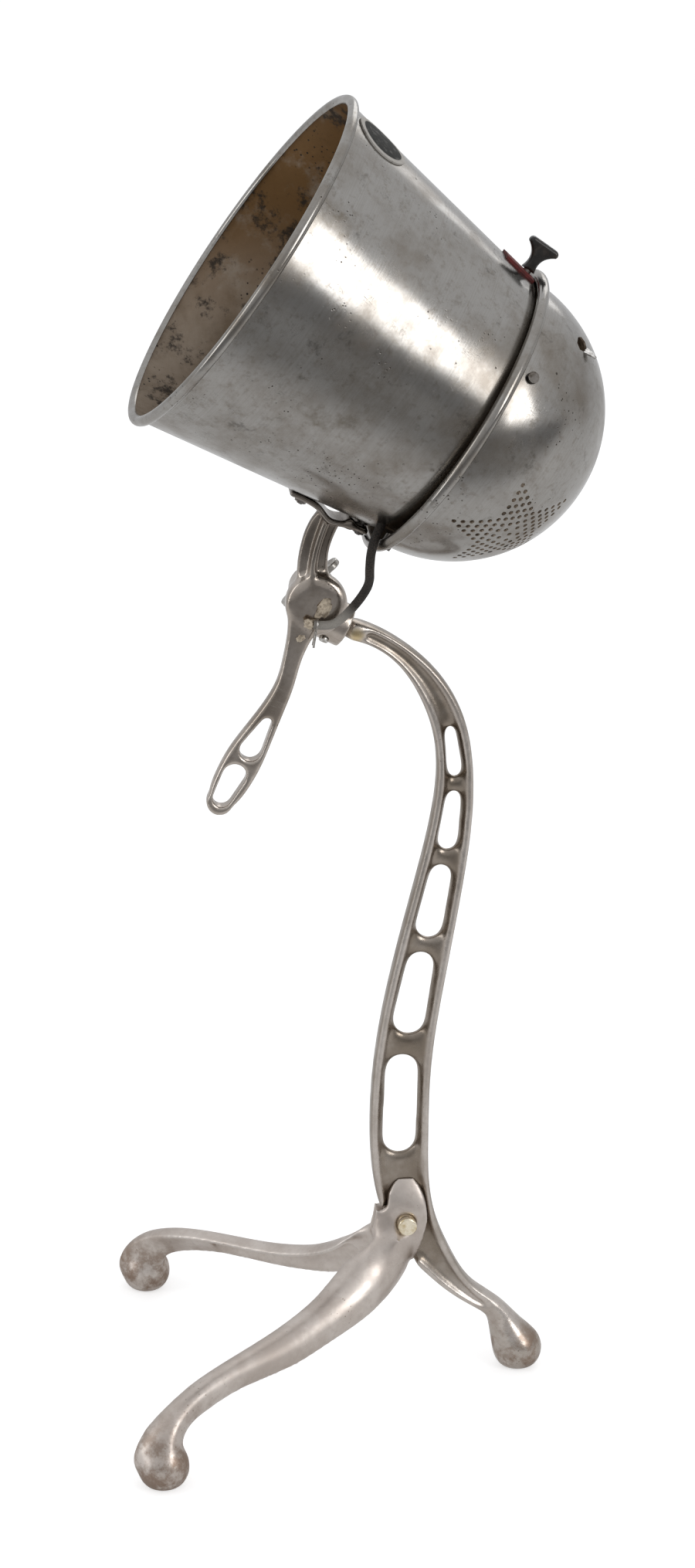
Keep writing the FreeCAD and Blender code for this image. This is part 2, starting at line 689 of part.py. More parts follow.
def handle_casting():
    back = -(knuckle_half_depth + joint_gap)
    hub = rod(Y * back, Y * -hub_face, hub_radius)
    hub = rounded(hub, hub_edge_round, at_depth(-hub_face))
    raised = rod(Y * back, Y * (-hub_face - hub_rise), hub_raised_radius)
    raised = rounded(raised, hub_rise * 0.8, at_depth(-hub_face - hub_rise))
    grip_near = -hub_face
    grip_far = grip_near + grip_thickness
    tip = V(grip_line[-1][0] + 0.6, 0, -grip_end)
    grip = band(grip_line, grip_near, grip_far, tip)
    for depth in (grip_near, grip_far):
        grip = rounded(grip, grip_edge_round, long_at_depth(depth, 1.2 * grip_line[0][2]))
    for x, z, radius, lower_x, lower_z, lower_radius in grip_holes:
        hole = tapered_slot(V(x, 0, z), radius, V(lower_x, 0, lower_z), lower_radius, grip_near, grip_far)
        grip = grip.cut(hole)
    arm_top = arm_line[-1][0]
    rise = below_wall(arm_top, strap_drop(arm_top)).z
    arm = [(x, share * rise, width) for x, share, width in arm_line]
    arm = band(arm, -arm_back - arm_thickness, -arm_back)
    arm = rounded(arm, arm_edge_round, long_at_depth(-arm_back - arm_thickness, 20))
    rib = [(x, share * rise, rib_width) for x, share in rib_line]
    rib = band(rib, -hub_face - hub_rise, -arm_back - arm_thickness / 2)
    rib = rounded(rib, rib_width * 0.35, long_at_depth(-hub_face - hub_rise, 20))
    near = axis_y - strap_width / 2
    points = [below_wall(x, drop) for x, drop in strap_line]
    strap = band([(point.x, point.z, strap_thickness) for point in points], near, near + strap_width)
    boss = below_wall(boss_x, boss_drop)
    strap = strap.fuse(rod(boss + Y * near, boss + Y * (near + strap_width), boss_radius))
    reflector = wall_layer(2 * strap_line[0][0], neck_x, -mouth_radius / 2, seat_gap)
    reflector.translate(V(0, axis_y, axis_z))
    solid = hub.fuse([raised, grip, arm, rib, strap]).cut(reflector)
    holes = [rod(Y * back, Y * (back - stud_in_hub), stud_radius + fixed_fit)]
    for x in strap_screws_x:
        base, out = strap_screw_axis(x)
        holes.append(rod(base, base + out * strap_width, screw_radius + fixed_fit))
    return in_head(solid.cut(holes).removeSplitter())


def strap_screw_axis(x):
    """Foot of a strap screw on the reflector's outside, and its way out, in the head's frame."""
    tilt = math.radians(wall_tilt())
    base = below_wall(x, 0) + Y * axis_y
    return base, V(math.sin(tilt), 0, -math.cos(tilt))


def strap_drop(x):
    """How far the strap's middle lies below the wall at one of its screws."""
    nearest = min(strap_line, key=lambda place: abs(place[0] - x))
    return nearest[1]


def nut_seat(x):
    """Distance from the wall to the underside of the strap at one of its screws."""
    return strap_drop(x) + strap_thickness / 2 + seat_gap


def strap_screws():
    """Round-headed screws from inside the reflector."""
    solids = []
    for x in strap_screws_x:
        base, out = strap_screw_axis(x)
        seat = base - out * (sheet + 2 * seat_gap)
        end = base + out * (nut_seat(x) + screw_nut_height + screw_past_nut)
        head = rod(seat - out * screw_head_height, seat, screw_head_radius)
        solids.append(rod(seat, end, screw_radius).fuse(head))
    return in_head(Part.makeCompound(solids))


def strap_nuts():
    solids = []
    for x in strap_screws_x:
        base, out = strap_screw_axis(x)
        near, far = base + out * nut_seat(x), base + out * (nut_seat(x) + screw_nut_height)
        solids.append(hexagon(near, far, screw_nut_across).cut(rod(near, far, screw_radius + fixed_fit)))
    return in_head(Part.makeCompound(solids))


def strap_washer():
    """Packing washer between the reflector and the strap's rear foot."""
    x = strap_screws_x[-1]
    base, out = strap_screw_axis(x)
    far = strap_drop(x) - strap_thickness / 2 - 3 * seat_gap
    washer = ring(base, base + out * far, strap_washer_radius, screw_radius + fixed_fit)
    reflector = wall_layer(2 * x - 20, neck_x, -mouth_radius / 2, seat_gap)
    reflector.translate(V(0, axis_y, axis_z))
    return in_head(washer.cut(reflector))


def shade():
    """Spun reflector with a rolled bead round the mouth and a neck that runs into the dome."""
    wall = wall_layer(mouth_x, neck_x, -sheet, 0.0)
    bead_x = mouth_x + mouth_bead_radius
    bead = Part.makeTorus(wall_radius(bead_x) + bead_overlap, mouth_bead_radius, V(bead_x, 0, 0), X)
    wall = wall.fuse(bead)
    cutters = [rod(V(key_x, 0, 0), V(key_x, 0, 2 * mouth_radius), key_hole_radius)]
    for x in strap_screws_x:
        base, out = strap_screw_axis(x)
        base = base - V(0, axis_y, axis_z)
        cutters.append(rod(base - out * 5, base + out * 5, screw_radius + fixed_fit))
    for turn, x in rim_screw_places():
        hole = rod(V(x, 0, 0), V(x, 0, 2 * ring_radius), rim_screw_radius + fixed_fit)
        cutters.append(turned_about_x(hole, turn))
    slot = Part.makeBox(mouth_slot_length, mouth_slot_width, mouth_radius,
                        V(mouth_slot_x - mouth_slot_length / 2, -mouth_slot_width / 2, mouth_radius / 2))
    cutters.append(turned_about_x(slot, mouth_slot_turn))
    notch = Part.makeBox(neck_x - cord_exit_x + 1, notch_width, ring_radius,
                         V(cord_exit_x, -notch_width / 2, ring_radius / 2))
    notch_end = rod(V(cord_exit_x, 0, ring_radius / 2), V(cord_exit_x, 0, 2 * ring_radius), notch_width / 2)
    notch = notch.fuse(notch_end)
    cutters.append(turned_about_x(notch, cord_turn))
    return on_axis(wall.cut(cutters))


def in_dome(shape):
    """Place a shape made round the X axis, with the dome's rim at x = 0, on the leaning dome."""
    moved = shape.copy()
    moved.rotate(V(0, 0, 0), Y, -dome_lean)
    moved.translate(V(dome_x, 0, -dome_drop))
    return moved


def star_places():
    """Places of the vent holes from the star's middle: five pointed fields round five-sided rings."""

    def spoke(reach, turn):
        return V(reach * math.cos(math.radians(turn)), reach * math.sin(math.radians(turn)), 0)

    places = [V(0, 0, 0)]
    for turn in range(0, 360, 72):
        tip, left, right = spoke(star_reach, turn), spoke(star_waist, turn - 36), spoke(star_waist, turn + 36)
        for row in range(vent_steps):
            first = tip + (left - tip) * (row / vent_steps)
            places += [first + (right - left) * (step / vent_steps) for step in range(row + 1)]
        for index, holes in enumerate(middle_rings):
            share = (index + 1) / len(middle_rings)
            places += [(left + (right - left) * (step / holes)) * share for step in range(holes)]
    return places


def vent_tools():
    """One small six-sided punch for each vent hole."""
    centre = FreeCAD.Rotation(X, star_turn).multiply(FreeCAD.Rotation(Y, -star_from_axis))
    tools = []
    for place in star_places():
        distance = place.Length / dome_radius
        heading = math.degrees(math.atan2(place.y, place.x))
        aim = centre.multiply(FreeCAD.Rotation(X, heading))
        aim = aim.multiply(FreeCAD.Rotation(Y, -math.degrees(distance)))
        out = aim.multVec(X)
        tools.append(hexagon(out * (dome_radius - 3 * sheet), out * (dome_radius + 2 * sheet),
                             vent_radius * math.sqrt(3)))
    return tools


def dome():
    """Spun hemispherical back with a rolled rim, a star of vent holes and three screw holes."""
    half = [V(0, 0, dome_radius), V(dome_radius, 0, 0)]
    middle = dome_radius * math.sqrt(0.5)
    inner = dome_radius - sheet
    inner_middle = inner * math.sqrt(0.5)
    edges = [
        Part.Arc(half[0], V(middle, 0, middle), half[1]).toShape(),
        Part.makeLine(half[1], V(inner, 0, 0)),
        Part.Arc(V(inner, 0, 0), V(inner_middle, 0, inner_middle), V(0, 0, inner)).toShape(),
        Part.makeLine(V(0, 0, inner), half[0]),
    ]
    shell = Part.Face(Part.Wire(edges)).revolve(V(0, 0, 0), X, 360)
    bead = Part.makeTorus(dome_radius + dome_bead_radius - bead_overlap, dome_bead_radius, V(0, 0, 0), X)
    shell = in_dome(shell.fuse(bead).cut(vent_tools()))
    holes = []
    for turn, x in rim_screw_places():
        hole = rod(V(x, 0, 0), V(x, 0, 2 * dome_radius), rim_screw_radius + 5 * fixed_fit)
        holes.append(turned_about_x(hole, turn))
    return on_axis(shell.cut(holes))


def rim_screw_places():
    """Turn round the axis and place along it for each rim screw; the row follows the leaning rim."""
    places = []
    for step in range(rim_screw_count):
        turn = rim_screw_turn + step * 360.0 / rim_screw_count
        lean = dome_radius * math.sin(math.radians(dome_lean)) * math.cos(math.radians(turn))
        places.append((turn, rim_screw_x - lean))
    return places


def dome_height(x, turn, radius=dome_radius):
    """Distance from the reflector's axis to a sphere about the dome's middle."""
    angle = math.radians(turn)
    across = dome_drop * math.sin(angle)
    return math.sqrt(radius ** 2 - (x - dome_x) ** 2 - across ** 2) - dome_drop * math.cos(angle)


def bracket_tab_height():
    """Outside of the bracket's flat tabs, which must pass inside the neck's narrow end."""
    inside = wall_radius(neck_x) - sheet - bracket_wall_gap
    return math.sqrt(inside ** 2 - (bracket_arm / 2) ** 2)


def rim_screws():
    solids = []
    for turn, x in rim_screw_places():
        seat = dome_height(x - rim_screw_head_radius, turn) + 2 * seat_gap
        shank = rod(V(x, 0, bracket_tab_height() - bracket_sheet - 1.5), V(x, 0, seat), rim_screw_radius)
        head = rod(V(x, 0, seat), V(x, 0, seat + rim_screw_head_height), rim_screw_head_radius)
        solids.append(turned_about_x(shank.fuse(head), turn))
    return on_axis(Part.makeCompound(solids))


def rim_spacers():
    """Sleeves that hold the dome off the neck."""
    solids = []
    for turn, x in rim_screw_places():
        low = wall_radius(x - spacer_radius) + spacer_end_gap
        high = dome_height(x + spacer_radius, turn, dome_radius - sheet) - spacer_end_gap
        sleeve = ring(V(x, 0, low), V(x, 0, high), spacer_radius, rim_screw_radius + fixed_fit)
        solids.append(turned_about_x(sleeve, turn))
    return on_axis(Part.makeCompound(solids))


def socket_bracket():
    """Three-armed sheet bracket across the neck, with tabs that the rim screws thread into."""
    tab_top = bracket_tab_height()
    plate = rod(V(bracket_x, 0, 0), V(bracket_x + bracket_sheet, 0, 0), bracket_hub_radius)
    holes = [rod(V(bracket_x, 0, 0), V(bracket_x + bracket_sheet, 0, 0), nipple_radius + fixed_fit)]
    arms = []
    for turn, x in rim_screw_places():
        arm = Part.makeBox(bracket_sheet, bracket_arm, tab_top, V(bracket_x, -bracket_arm / 2, 0))
        tab = Part.makeBox(bracket_x + bracket_sheet - bracket_tab_x, bracket_arm, bracket_sheet,
                           V(bracket_tab_x, -bracket_arm / 2, tab_top - bracket_sheet))
        arms.append(turned_about_x(arm.fuse(tab), turn))
        hole = rod(V(x, 0, tab_top - 2 * bracket_sheet), V(x, 0, 2 * tab_top), rim_screw_radius + fixed_fit)
        holes.append(turned_about_x(hole, turn))
    return on_axis(plate.fuse(arms).cut(holes).removeSplitter())


def socket_nipple():
    return on_axis(ring(V(nipple_front, 0, 0), V(nipple_back, 0, 0), nipple_radius, nipple_bore))


def nipple_nut():
    near = bracket_x + bracket_sheet + seat_gap
    start, end = V(near, 0, 0), V(near + locknut_height, 0, 0)
    return on_axis(hexagon(start, end, locknut_across).cut(rod(start, end, nipple_radius + fixed_fit)))


def socket_cap():
    """Spun brass cap that screws on the nipple and takes the shell."""
    inner = nipple_radius + fixed_fit
    back = bracket_x - seat_gap
    outline = [
        (back, inner), (back, cap_collar_radius), (cap_collar_x, cap_collar_radius),
        (cap_front_x + 6.0, cap_radius), (cap_front_x, cap_radius), (cap_front_x, cap_radius - socket_sheet),
        (cap_front_x + 6.0 - socket_sheet / 2, cap_radius - socket_sheet),
        (cap_collar_x - socket_sheet, cap_collar_radius - socket_sheet), (cap_collar_x - socket_sheet, inner),
    ]
    return on_axis(revolved(outline))


def key_way(radius):
    """Rod along the key's axis, from the socket outwards."""
    return rod(V(key_x, 0, 0), V(key_x, 0, 2 * mouth_radius), radius)


def socket_shell():
    """Brass shell with the opening for the key's shaft."""
    back = cap_front_x + 3.0
    inner = shell_radius - socket_sheet
    front = shell_front_x
    wall = revolved([(back, shell_radius), (front, shell_radius), (front, inner), (back, inner)])
    return on_axis(wall.cut(key_way(key_shaft_radius + 1.0)))


def socket_liner():
    outer = shell_radius - socket_sheet - seat_gap
    back = cap_front_x + 2.0
    front = shell_front_x + 1.5
    inner = outer - liner_thickness
    wall = revolved([(back, outer), (front, outer), (front, inner), (back, inner)])
    return on_axis(wall.cut(key_way(key_shaft_radius + 1.0)))


def socket_core():
    """Porcelain body that carries the key's shaft and the contacts."""
    outer = shell_radius - socket_sheet - liner_thickness - 2 * seat_gap
    body = rod(V(core_back_x, 0, 0), V(core_front_x, 0, 0), outer)
    return on_axis(body.cut(rod(V(key_x, 0, key_shaft_start - joint_gap), V(key_x, 0, 2 * outer),
                                key_shaft_radius + running_fit)))


def screw_shell():
    """Threaded brass shell that takes the bulb."""
    back = core_front_x - seat_gap
    return on_axis(ring(V(back, 0, 0), V(screw_shell_front_x, 0, 0), screw_shell_radius,
                        screw_shell_radius - socket_sheet))


def contact_front():
    return core_front_x - seat_gap - contact_height


def centre_contact():
    return on_axis(rod(V(core_front_x - seat_gap, 0, 0), V(contact_front(), 0, 0), contact_radius))


def bulb_back():
    return contact_front() - seat_gap


def bulb_front():
    return bulb_back() - bulb_base_length


def bulb_base():
    """Screw base: a brass cup with its contact, cemented round the glass neck."""
    outer, back, front = bulb_base_radius, bulb_back(), bulb_front()
    shoulder_x = back - 4.0
    inner, inside = outer - bulb_base_sheet, back - bulb_base_sheet
    cup = [(back, 0), (back, contact_radius), (shoulder_x, outer), (front, outer), (front, inner),
           (shoulder_x - bulb_base_sheet, inner), (inside, contact_radius - bulb_base_sheet), (inside, 0)]
    return on_axis(revolved(cup))


def bulb_glass():
    """Blown glass: a round bulb drawn into a neck by a hollow curve."""
    across, up = bulb_radius + bulb_shoulder, bulb_neck_radius + bulb_shoulder
    along = math.sqrt(across ** 2 - up ** 2)
    middle, hollow = V(bulb_middle_x, 0, 0), V(bulb_middle_x + along, 0, up)
    aim = (hollow - middle).normalize()
    edges = []
    for inset in (0.0, bulb_glass_wall):
        radius, curve = bulb_radius - inset, bulb_shoulder + inset
        start = V(bulb_front() + bulb_neck_in_base, 0, bulb_neck_radius - inset)
        neck = V(hollow.x, 0, bulb_neck_radius - inset)
        halfway = hollow - (aim + Z).normalize() * curve
        join = middle + aim * radius
        edges += [
            Part.makeLine(start, neck),
            Part.Arc(neck, halfway, join).toShape(),
            Part.Arc(join, middle + Z * radius, middle - X * radius).toShape(),
        ]
    edges.append(Part.makeLine(edges[0].Vertexes[0].Point, edges[3].Vertexes[0].Point))
    edges.append(Part.makeLine(middle - X * bulb_radius, middle - X * (bulb_radius - bulb_glass_wall)))
    wire = Part.Wire(Part.sortEdges(edges)[0])
    return on_axis(Part.Face(wire).revolve(V(0, 0, 0), X, 360))


def bulb_stem():
    """Glass stem inside the bulb that carries the filament, flared to meet the neck."""
    back = bulb_front() + bulb_neck_in_base - 1.0
    flare = bulb_neck_radius - bulb_glass_wall - seat_gap
    return on_axis(revolved([(back, 0), (back, flare), (back - 2.0, flare), (back - 8.0, bulb_stem_radius),
                             (bulb_stem_end_x, bulb_stem_radius), (bulb_stem_end_x, 0)]))


def bent_tube(points, radius, share=0.45):
    """Tube along straight runs joined by arcs as large as the runs allow. Returns it with its bend radii."""
    edges, radii = [], []
    last = points[0]
    for before, corner, after in zip(points, points[1:], points[2:]):
        into, out = (corner - before), (after - corner)
        turn = into.getAngle(out)
        cut = share * min(into.Length, out.Length)
        radii.append(cut / math.tan(turn / 2))
        into.normalize()
        out.normalize()
        start, end = corner - into * cut, corner + out * cut
        inward = (out - into).normalize()
        centre = corner + inward * (cut / math.sin(turn / 2))
        middle = centre - inward * radii[-1]
        edges += [Part.LineSegment(last, start).toShape(), Part.Arc(start, middle, end).toShape()]
        last = end
    edges.append(Part.LineSegment(last, points[-1]).toShape())
    path = Part.Wire(edges)
    profile = Part.Wire(Part.makeCircle(radius, points[0], points[1] - points[0]))
    return path.makePipeShell([profile], True, False), radii, path.Length


def filament():
    """Carbon filament: one hairpin between the lead wires in the stem."""
    spread = filament_spread / 2
    root = bulb_stem_end_x
    points = [V(filament_end_x, 0, 0)]
    for x, y in ((filament_end_x + 8.0, spread + 0.6), (root - 9.0, spread), (root - 2 * seat_gap, 2.0)):
        points = [V(x, -y, 0)] + points + [V(x, y, 0)]
    return on_axis(bent_tube(points, filament_radius)[0])


def badge_plate():
    """Plain round plate bent to the reflector's wall."""
    layer = wall_layer(badge_x - 2 * badge_radius, badge_x + 2 * badge_radius, seat_gap, badge_thickness)
    disc = rod(V(badge_x, 0, mouth_radius / 2), V(badge_x, 0, 2 * mouth_radius), badge_radius)
    return on_axis(turned_about_x(layer.common(disc), badge_turn))


def key_plate():
    """Red fibre plate on the wall, which insulates the key's shaft."""
    layer = wall_layer(fibre_start_x, fibre_end_x, seat_gap, fibre_thickness)
    box = Part.makeBox(fibre_end_x - fibre_start_x, 2 * fibre_half_width, mouth_radius,
                       V(fibre_start_x, -fibre_half_width, mouth_radius / 2))
    return on_axis(layer.common(box).cut(key_way(key_shaft_radius + running_fit)))


def key_shaft():
    end = V(key_x, 0, key_base + key_bore_depth)
    return on_axis(rod(V(key_x, 0, key_shaft_start), end, key_shaft_radius))


def switch_key():
    """Ebonite thumb key: a round stem that flares into a flat paddle."""
    half, neck, top = key_width / 2, key_neck / 2, key_top
    waist = key_base + 0.45 * (key_top - key_base)
    left = [V(-neck - 0.4, 0, key_base), V(-neck, 0, waist), V(-half, 0, top - 2 * key_head_round)]
    right = [V(-point.x, 0, point.z) for point in left]
    flare = through(left)
    other = through(right)
    crown_left, crown_right = V(-half + key_head_round, 0, top), V(half - key_head_round, 0, top)
    corner = V(half - 0.29 * key_head_round + 0.3, 0, top - 0.5 * key_head_round)
    edges = [
        Part.makeLine(left[0], right[0]), flare.toShape(), other.toShape(),
        Part.Arc(left[-1], V(-corner.x, 0, corner.z), crown_left).toShape(),
        Part.makeLine(crown_left, crown_right),
        Part.Arc(right[-1], corner, crown_right).toShape(),
    ]
    face = Part.Face(Part.Wire(Part.sortEdges(edges)[0]))
    face.translate(V(0, -key_thickness / 2, 0))
    paddle = face.extrude(V(0, key_thickness, 0))
    for depth in (-key_thickness / 2, key_thickness / 2):
        paddle = rounded(paddle, key_thickness * 0.3, at_depth(depth))
    bore = rod(V(0, 0, key_base), V(0, 0, key_base + key_bore_depth), key_shaft_radius + fixed_fit)
    paddle = paddle.cut(bore)
    paddle.translate(V(key_x, 0, 0))
    return on_axis(paddle)


def cord_points():
    """The cord's route in the head's frame, starting inside the notch of the neck."""
    turn = math.radians(cord_turn)
    out = V(0, -math.sin(turn), math.cos(turn))
    start = V(cord_exit_x, axis_y, axis_z) + out * cord_start_radius
    return [start, start + out * cord_first_run] + [V(*point) for point in cord_route]


def cord():
    return bent_tube(cord_points(), cord_diameter / 2)


def socket_lead():
    """The same cord inside the dome, from the nipple to where the outer length starts."""
    turn = math.radians(cord_turn)
    out = V(0, -math.sin(turn), math.cos(turn))
    points = [V(nipple_back + seat_gap, 0, 0)] + [V(x, 0, 0) + out * away for x, away in lead_route]
    points += [V(cord_exit_x, 0, 0) + out * away for away in (lead_turn_out, cord_start_radius)]
    return bent_tube(points, cord_diameter / 2)


def cord_tie():
    """Wire twisted round the cord's cut end: one open turn with two tails that lie on the hub."""
    before, end = cord_points()[-2:]
    along = (end - before).normalize()
    centre = before + (end - before) * tie_at
    reach = cord_diameter / 2 + tie_wire_radius + tie_turn_gap
    side = along.cross(Y).normalize()
    front = along.cross(side).normalize()
    if front.y > 0:
        front = front * -1
    gap = math.radians(25)
    start = centre + (side * math.cos(gap) + front * math.sin(gap)) * reach
    end_point = centre + (side * math.cos(gap) - front * math.sin(gap)) * reach
    loop = Part.Arc(start, centre - side * reach, end_point)
    tails = []
    for point, way in ((start, -1), (end_point, 1)):
        lean = (side + front * (0.12 * -way)).normalize()
        tails.append(rod(point, point + lean * tie_tail, tie_wire_radius))
    profile = Part.Wire(Part.makeCircle(tie_wire_radius, start, loop.tangent(loop.parameter(start))[0]))
    turn = Part.Wire(loop.toShape()).makePipeShell([profile], True, False)
    balls = [Part.makeSphere(tie_wire_radius, point) for point in (start, end_point)]
    return in_head(turn.fuse(tails + balls))


outer_cord, cord_radii, cord_length = cord()
inner_lead, lead_radii, lead_length = socket_lead()
leg = front_leg()
nodes = {
    "stem": stem(),
    "front_leg": leg,
    "rear_leg": mirrored(leg),
    "leg_pin": leg_pin(),
    "leg_nut": leg_nut(),
    "knuckle": knuckle(),
    "swivel_screw": swivel_screw(),
    "pivot_stud": pivot_stud(),
    "pivot_washer": pivot_washer(),
    "wing_nut": wing_nut(),
    "handle_casting": handle_casting(),
    "strap_screws": strap_screws(),
    "strap_nuts": strap_nuts(),
    "strap_washer": strap_washer(),
    "shade": shade(),
    "badge_plate": badge_plate(),
    "dome": dome(),
    "rim_screws": rim_screws(),
    "rim_spacers": rim_spacers(),
    "socket_bracket": socket_bracket(),
    "socket_nipple": socket_nipple(),
    "nipple_nut": nipple_nut(),
    "socket_cap": socket_cap(),
    "socket_shell": socket_shell(),
    "socket_liner": socket_liner(),
    "socket_core": socket_core(),
    "screw_shell": screw_shell(),
    "centre_contact": centre_contact(),
    "bulb_base": bulb_base(),
    "bulb_glass": bulb_glass(),
    "bulb_stem": bulb_stem(),
    "filament": filament(),
    "key_plate": key_plate(),
    "key_shaft": key_shaft(),
    "switch_key": switch_key(),
    "socket_lead": on_axis(inner_lead),
    "cord": in_head(outer_cord),
    "cord_tie": cord_tie(),
}

# The origin is the middle of the part's box, on the surface that it stands on
box = FreeCAD.BoundBox()
for name, shape in nodes.items():
    if name != "cord":
        for point in shape.tessellate(0.2)[0]:
            box.add(point)
origin = V(box.Center.x, box.Center.y, box.ZMin)

os.makedirs("parts", exist_ok=True)
for name, shape in nodes.items():
    shape.translate(origin * -1)
    shape.exportStep("parts/" + name + ".step")


def told(point):
    """A point in the part's frame, in metres, for the printed summary."""
    place = point - origin
    return [round(value / 1000, 6) for value in (place.x, place.y, place.z)]


def head_point(x, y, z):
    return in_head(Part.Vertex(V(x, y, z))).Point


print("box", [round(value, 2) for value in (box.XLength, box.YLength, box.ZLength)])
print("origin", [round(value, 3) for value in origin])
print("pivot", told(pivot), "swivel axis", [round(value, 6) for value in swivel_along * -1])
key_foot, key_tip = head_point(key_x, axis_y, axis_z), head_point(key_x, axis_y, axis_z + key_top)
print("key", told(key_foot), [round(value, 6) for value in (key_tip - key_foot).normalize()])
foot_x, foot_y = leg_foot
print("feet", [told(V(x, y, 0)) for x, y in ((right_foot_x, 0), (foot_x, foot_y), (foot_x, -foot_y))])
for label, radii, length, solid in (("cord", cord_radii, cord_length, outer_cord),
                                    ("lead", lead_radii, lead_length, inner_lead)):
    expected = math.pi * (cord_diameter / 2) ** 2 * length
    print(label, "length", round(length, 1), "bend radii", [round(radius, 1) for radius in radii],
          "volume against section times length", round(solid.Volume / expected, 4))
print("cord route", [told(head_point(*point)) for point in cord_points()])
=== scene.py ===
import json
import math

import bmesh
import bpy
from mathutils import Matrix, Vector, noise


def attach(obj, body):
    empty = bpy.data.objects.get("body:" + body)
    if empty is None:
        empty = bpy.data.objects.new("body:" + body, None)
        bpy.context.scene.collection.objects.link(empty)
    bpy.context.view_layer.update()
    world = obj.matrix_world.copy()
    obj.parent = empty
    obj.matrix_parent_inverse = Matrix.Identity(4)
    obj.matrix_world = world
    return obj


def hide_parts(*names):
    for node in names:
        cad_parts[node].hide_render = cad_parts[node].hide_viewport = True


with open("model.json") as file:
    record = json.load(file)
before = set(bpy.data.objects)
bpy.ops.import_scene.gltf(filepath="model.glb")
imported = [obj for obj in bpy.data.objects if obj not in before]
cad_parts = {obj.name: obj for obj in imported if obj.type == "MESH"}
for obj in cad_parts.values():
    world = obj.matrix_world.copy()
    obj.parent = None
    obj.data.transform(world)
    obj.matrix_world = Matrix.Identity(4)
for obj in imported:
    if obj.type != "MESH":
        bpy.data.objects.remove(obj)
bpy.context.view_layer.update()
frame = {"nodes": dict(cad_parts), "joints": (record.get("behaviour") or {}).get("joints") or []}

# Camera: a long lens about two metres away, a little above the lamp and left of its middle.
# Its place comes from the feet, the mouth and the dome's rim as the picture shows them.
picture_height = 2030                       # pixels
focal_length = 4800                         # pixels
camera_pitch, camera_yaw = 19.944, 5.264    # degrees, downwards and towards the dome's side
camera_data = bpy.data.cameras.new("camera")
camera_data.sensor_fit = "VERTICAL"
camera_data.sensor_height = 24.0
camera_data.lens = camera_data.sensor_height * focal_length / picture_height
camera = bpy.data.objects.new("camera", camera_data)
camera.location = (-0.174, -1.868, 1.0369)
camera.rotation_euler = (math.radians(90 - camera_pitch), 0, math.radians(-camera_yaw))
bpy.context.scene.collection.objects.link(camera)
bpy.context.scene.camera = camera
bpy.context.scene.view_settings.view_transform = "Standard"


# Studio: a pale table before a white backdrop, a large soft box at the right, a strip at the left and a fill
# behind. Only the metal sees that the room and ceiling are greyer and the table darker towards the camera.
def shader_node(tree, kind, inputs=None, **settings):
    """Add one shader node and return its outputs. An input is a value or another node's output."""
    made = tree.nodes.new("ShaderNode" + kind)
    for name, value in settings.items():
        setattr(made, name, value)
    for name, value in (inputs or {}).items():
        if isinstance(value, bpy.types.NodeSocket):
            tree.links.new(value, made.inputs[name])
        else:
            made.inputs[name].default_value = value
    return made.outputs


def added(name, data):
    """Put a mesh, curve or lamp into the scene as an object."""
    made = bpy.data.objects.new(name, data)
    bpy.context.scene.collection.objects.link(made)
    return made


def soft_box(name, place, target, size, radiance):
    """Area lamp of a given brightness, facing a point."""
    lamp = bpy.data.lights.new(name, "AREA")
    lamp.shape = "RECTANGLE"
    lamp.size, lamp.size_y = size
    lamp.energy = radiance * math.pi * size[0] * size[1]
    box = added(name, lamp)
    box.location = place
    box.rotation_euler = (Vector(target) - Vector(place)).to_track_quat("-Z", "Y").to_euler()


def ray_kinds(tree):
    """1 for rays from the camera or through clear surfaces, and 1 for rays from mirroring surfaces."""
    ray = shader_node(tree, "LightPath")
    seen = shader_node(tree, "Math", {
        0: ray["Is Camera Ray"], 1: ray["Is Transmission Ray"]}, operation="MAXIMUM")[0]
    return seen, ray["Is Glossy Ray"]


def between(tree, value, low, high, at_low=0.0, at_high=1.0):
    """Value run smoothly from at_low to at_high as it goes from low to high."""
    return shader_node(tree, "MapRange", {
        "Value": value, "From Min": low, "From Max": high, "To Min": at_low, "To Max": at_high},
        interpolation_type="SMOOTHSTEP")["Result"]


world = bpy.data.worlds.new("studio")
bpy.context.scene.world = world
world.use_nodes = True
sky = world.node_tree
sky.nodes.clear()
way = shader_node(sky, "SeparateXYZ", {"Vector": shader_node(sky, "TexCoord")["Generated"]})
horizon_glow, ceiling_glow, ceiling_from = 0.66, 0.85, 0.7
room_glow, room_from, room_to = 0.8, -0.85, -0.3    # share of that glow left in the room behind the camera
ceiling = between(sky, way["Z"], 0.0, ceiling_from, horizon_glow, ceiling_glow)
room = between(sky, way["Y"], room_from, room_to, room_glow, 1.0)
mirrored = shader_node(sky, "Math", {0: ceiling, 1: room}, operation="MULTIPLY")[0]
seen, glossy = ray_kinds(sky)
lit = shader_node(sky, "Background", {"Color": (0.98, 0.985, 1.0, 1), "Strength": 0.65})[0]
dimmed = shader_node(sky, "Background", {"Color": (0.97, 0.98, 1, 1), "Strength": mirrored})[0]
white = shader_node(sky, "Background", {"Color": (1, 1, 1, 1), "Strength": 1.0})[0]
both = shader_node(sky, "MixShader", {"Fac": glossy, 1: lit, 2: dimmed})[0]
both = shader_node(sky, "MixShader", {"Fac": seen, 1: both, 2: white})[0]
shader_node(sky, "OutputWorld", {"Surface": both})

head_middle = (-0.05, 0.0, 0.6)
soft_box("key_box", (1.36, -1.42, 1.10), head_middle, (0.8, 1.0), 4.2)
soft_box("left_strip", (-1.9, -0.5, 1.0), (0, 0, 0.4), (0.4, 1.6), 2.6)
soft_box("back_fill", (0.9, 1.9, 1.7), head_middle, (1.2, 1.2), 1.2)

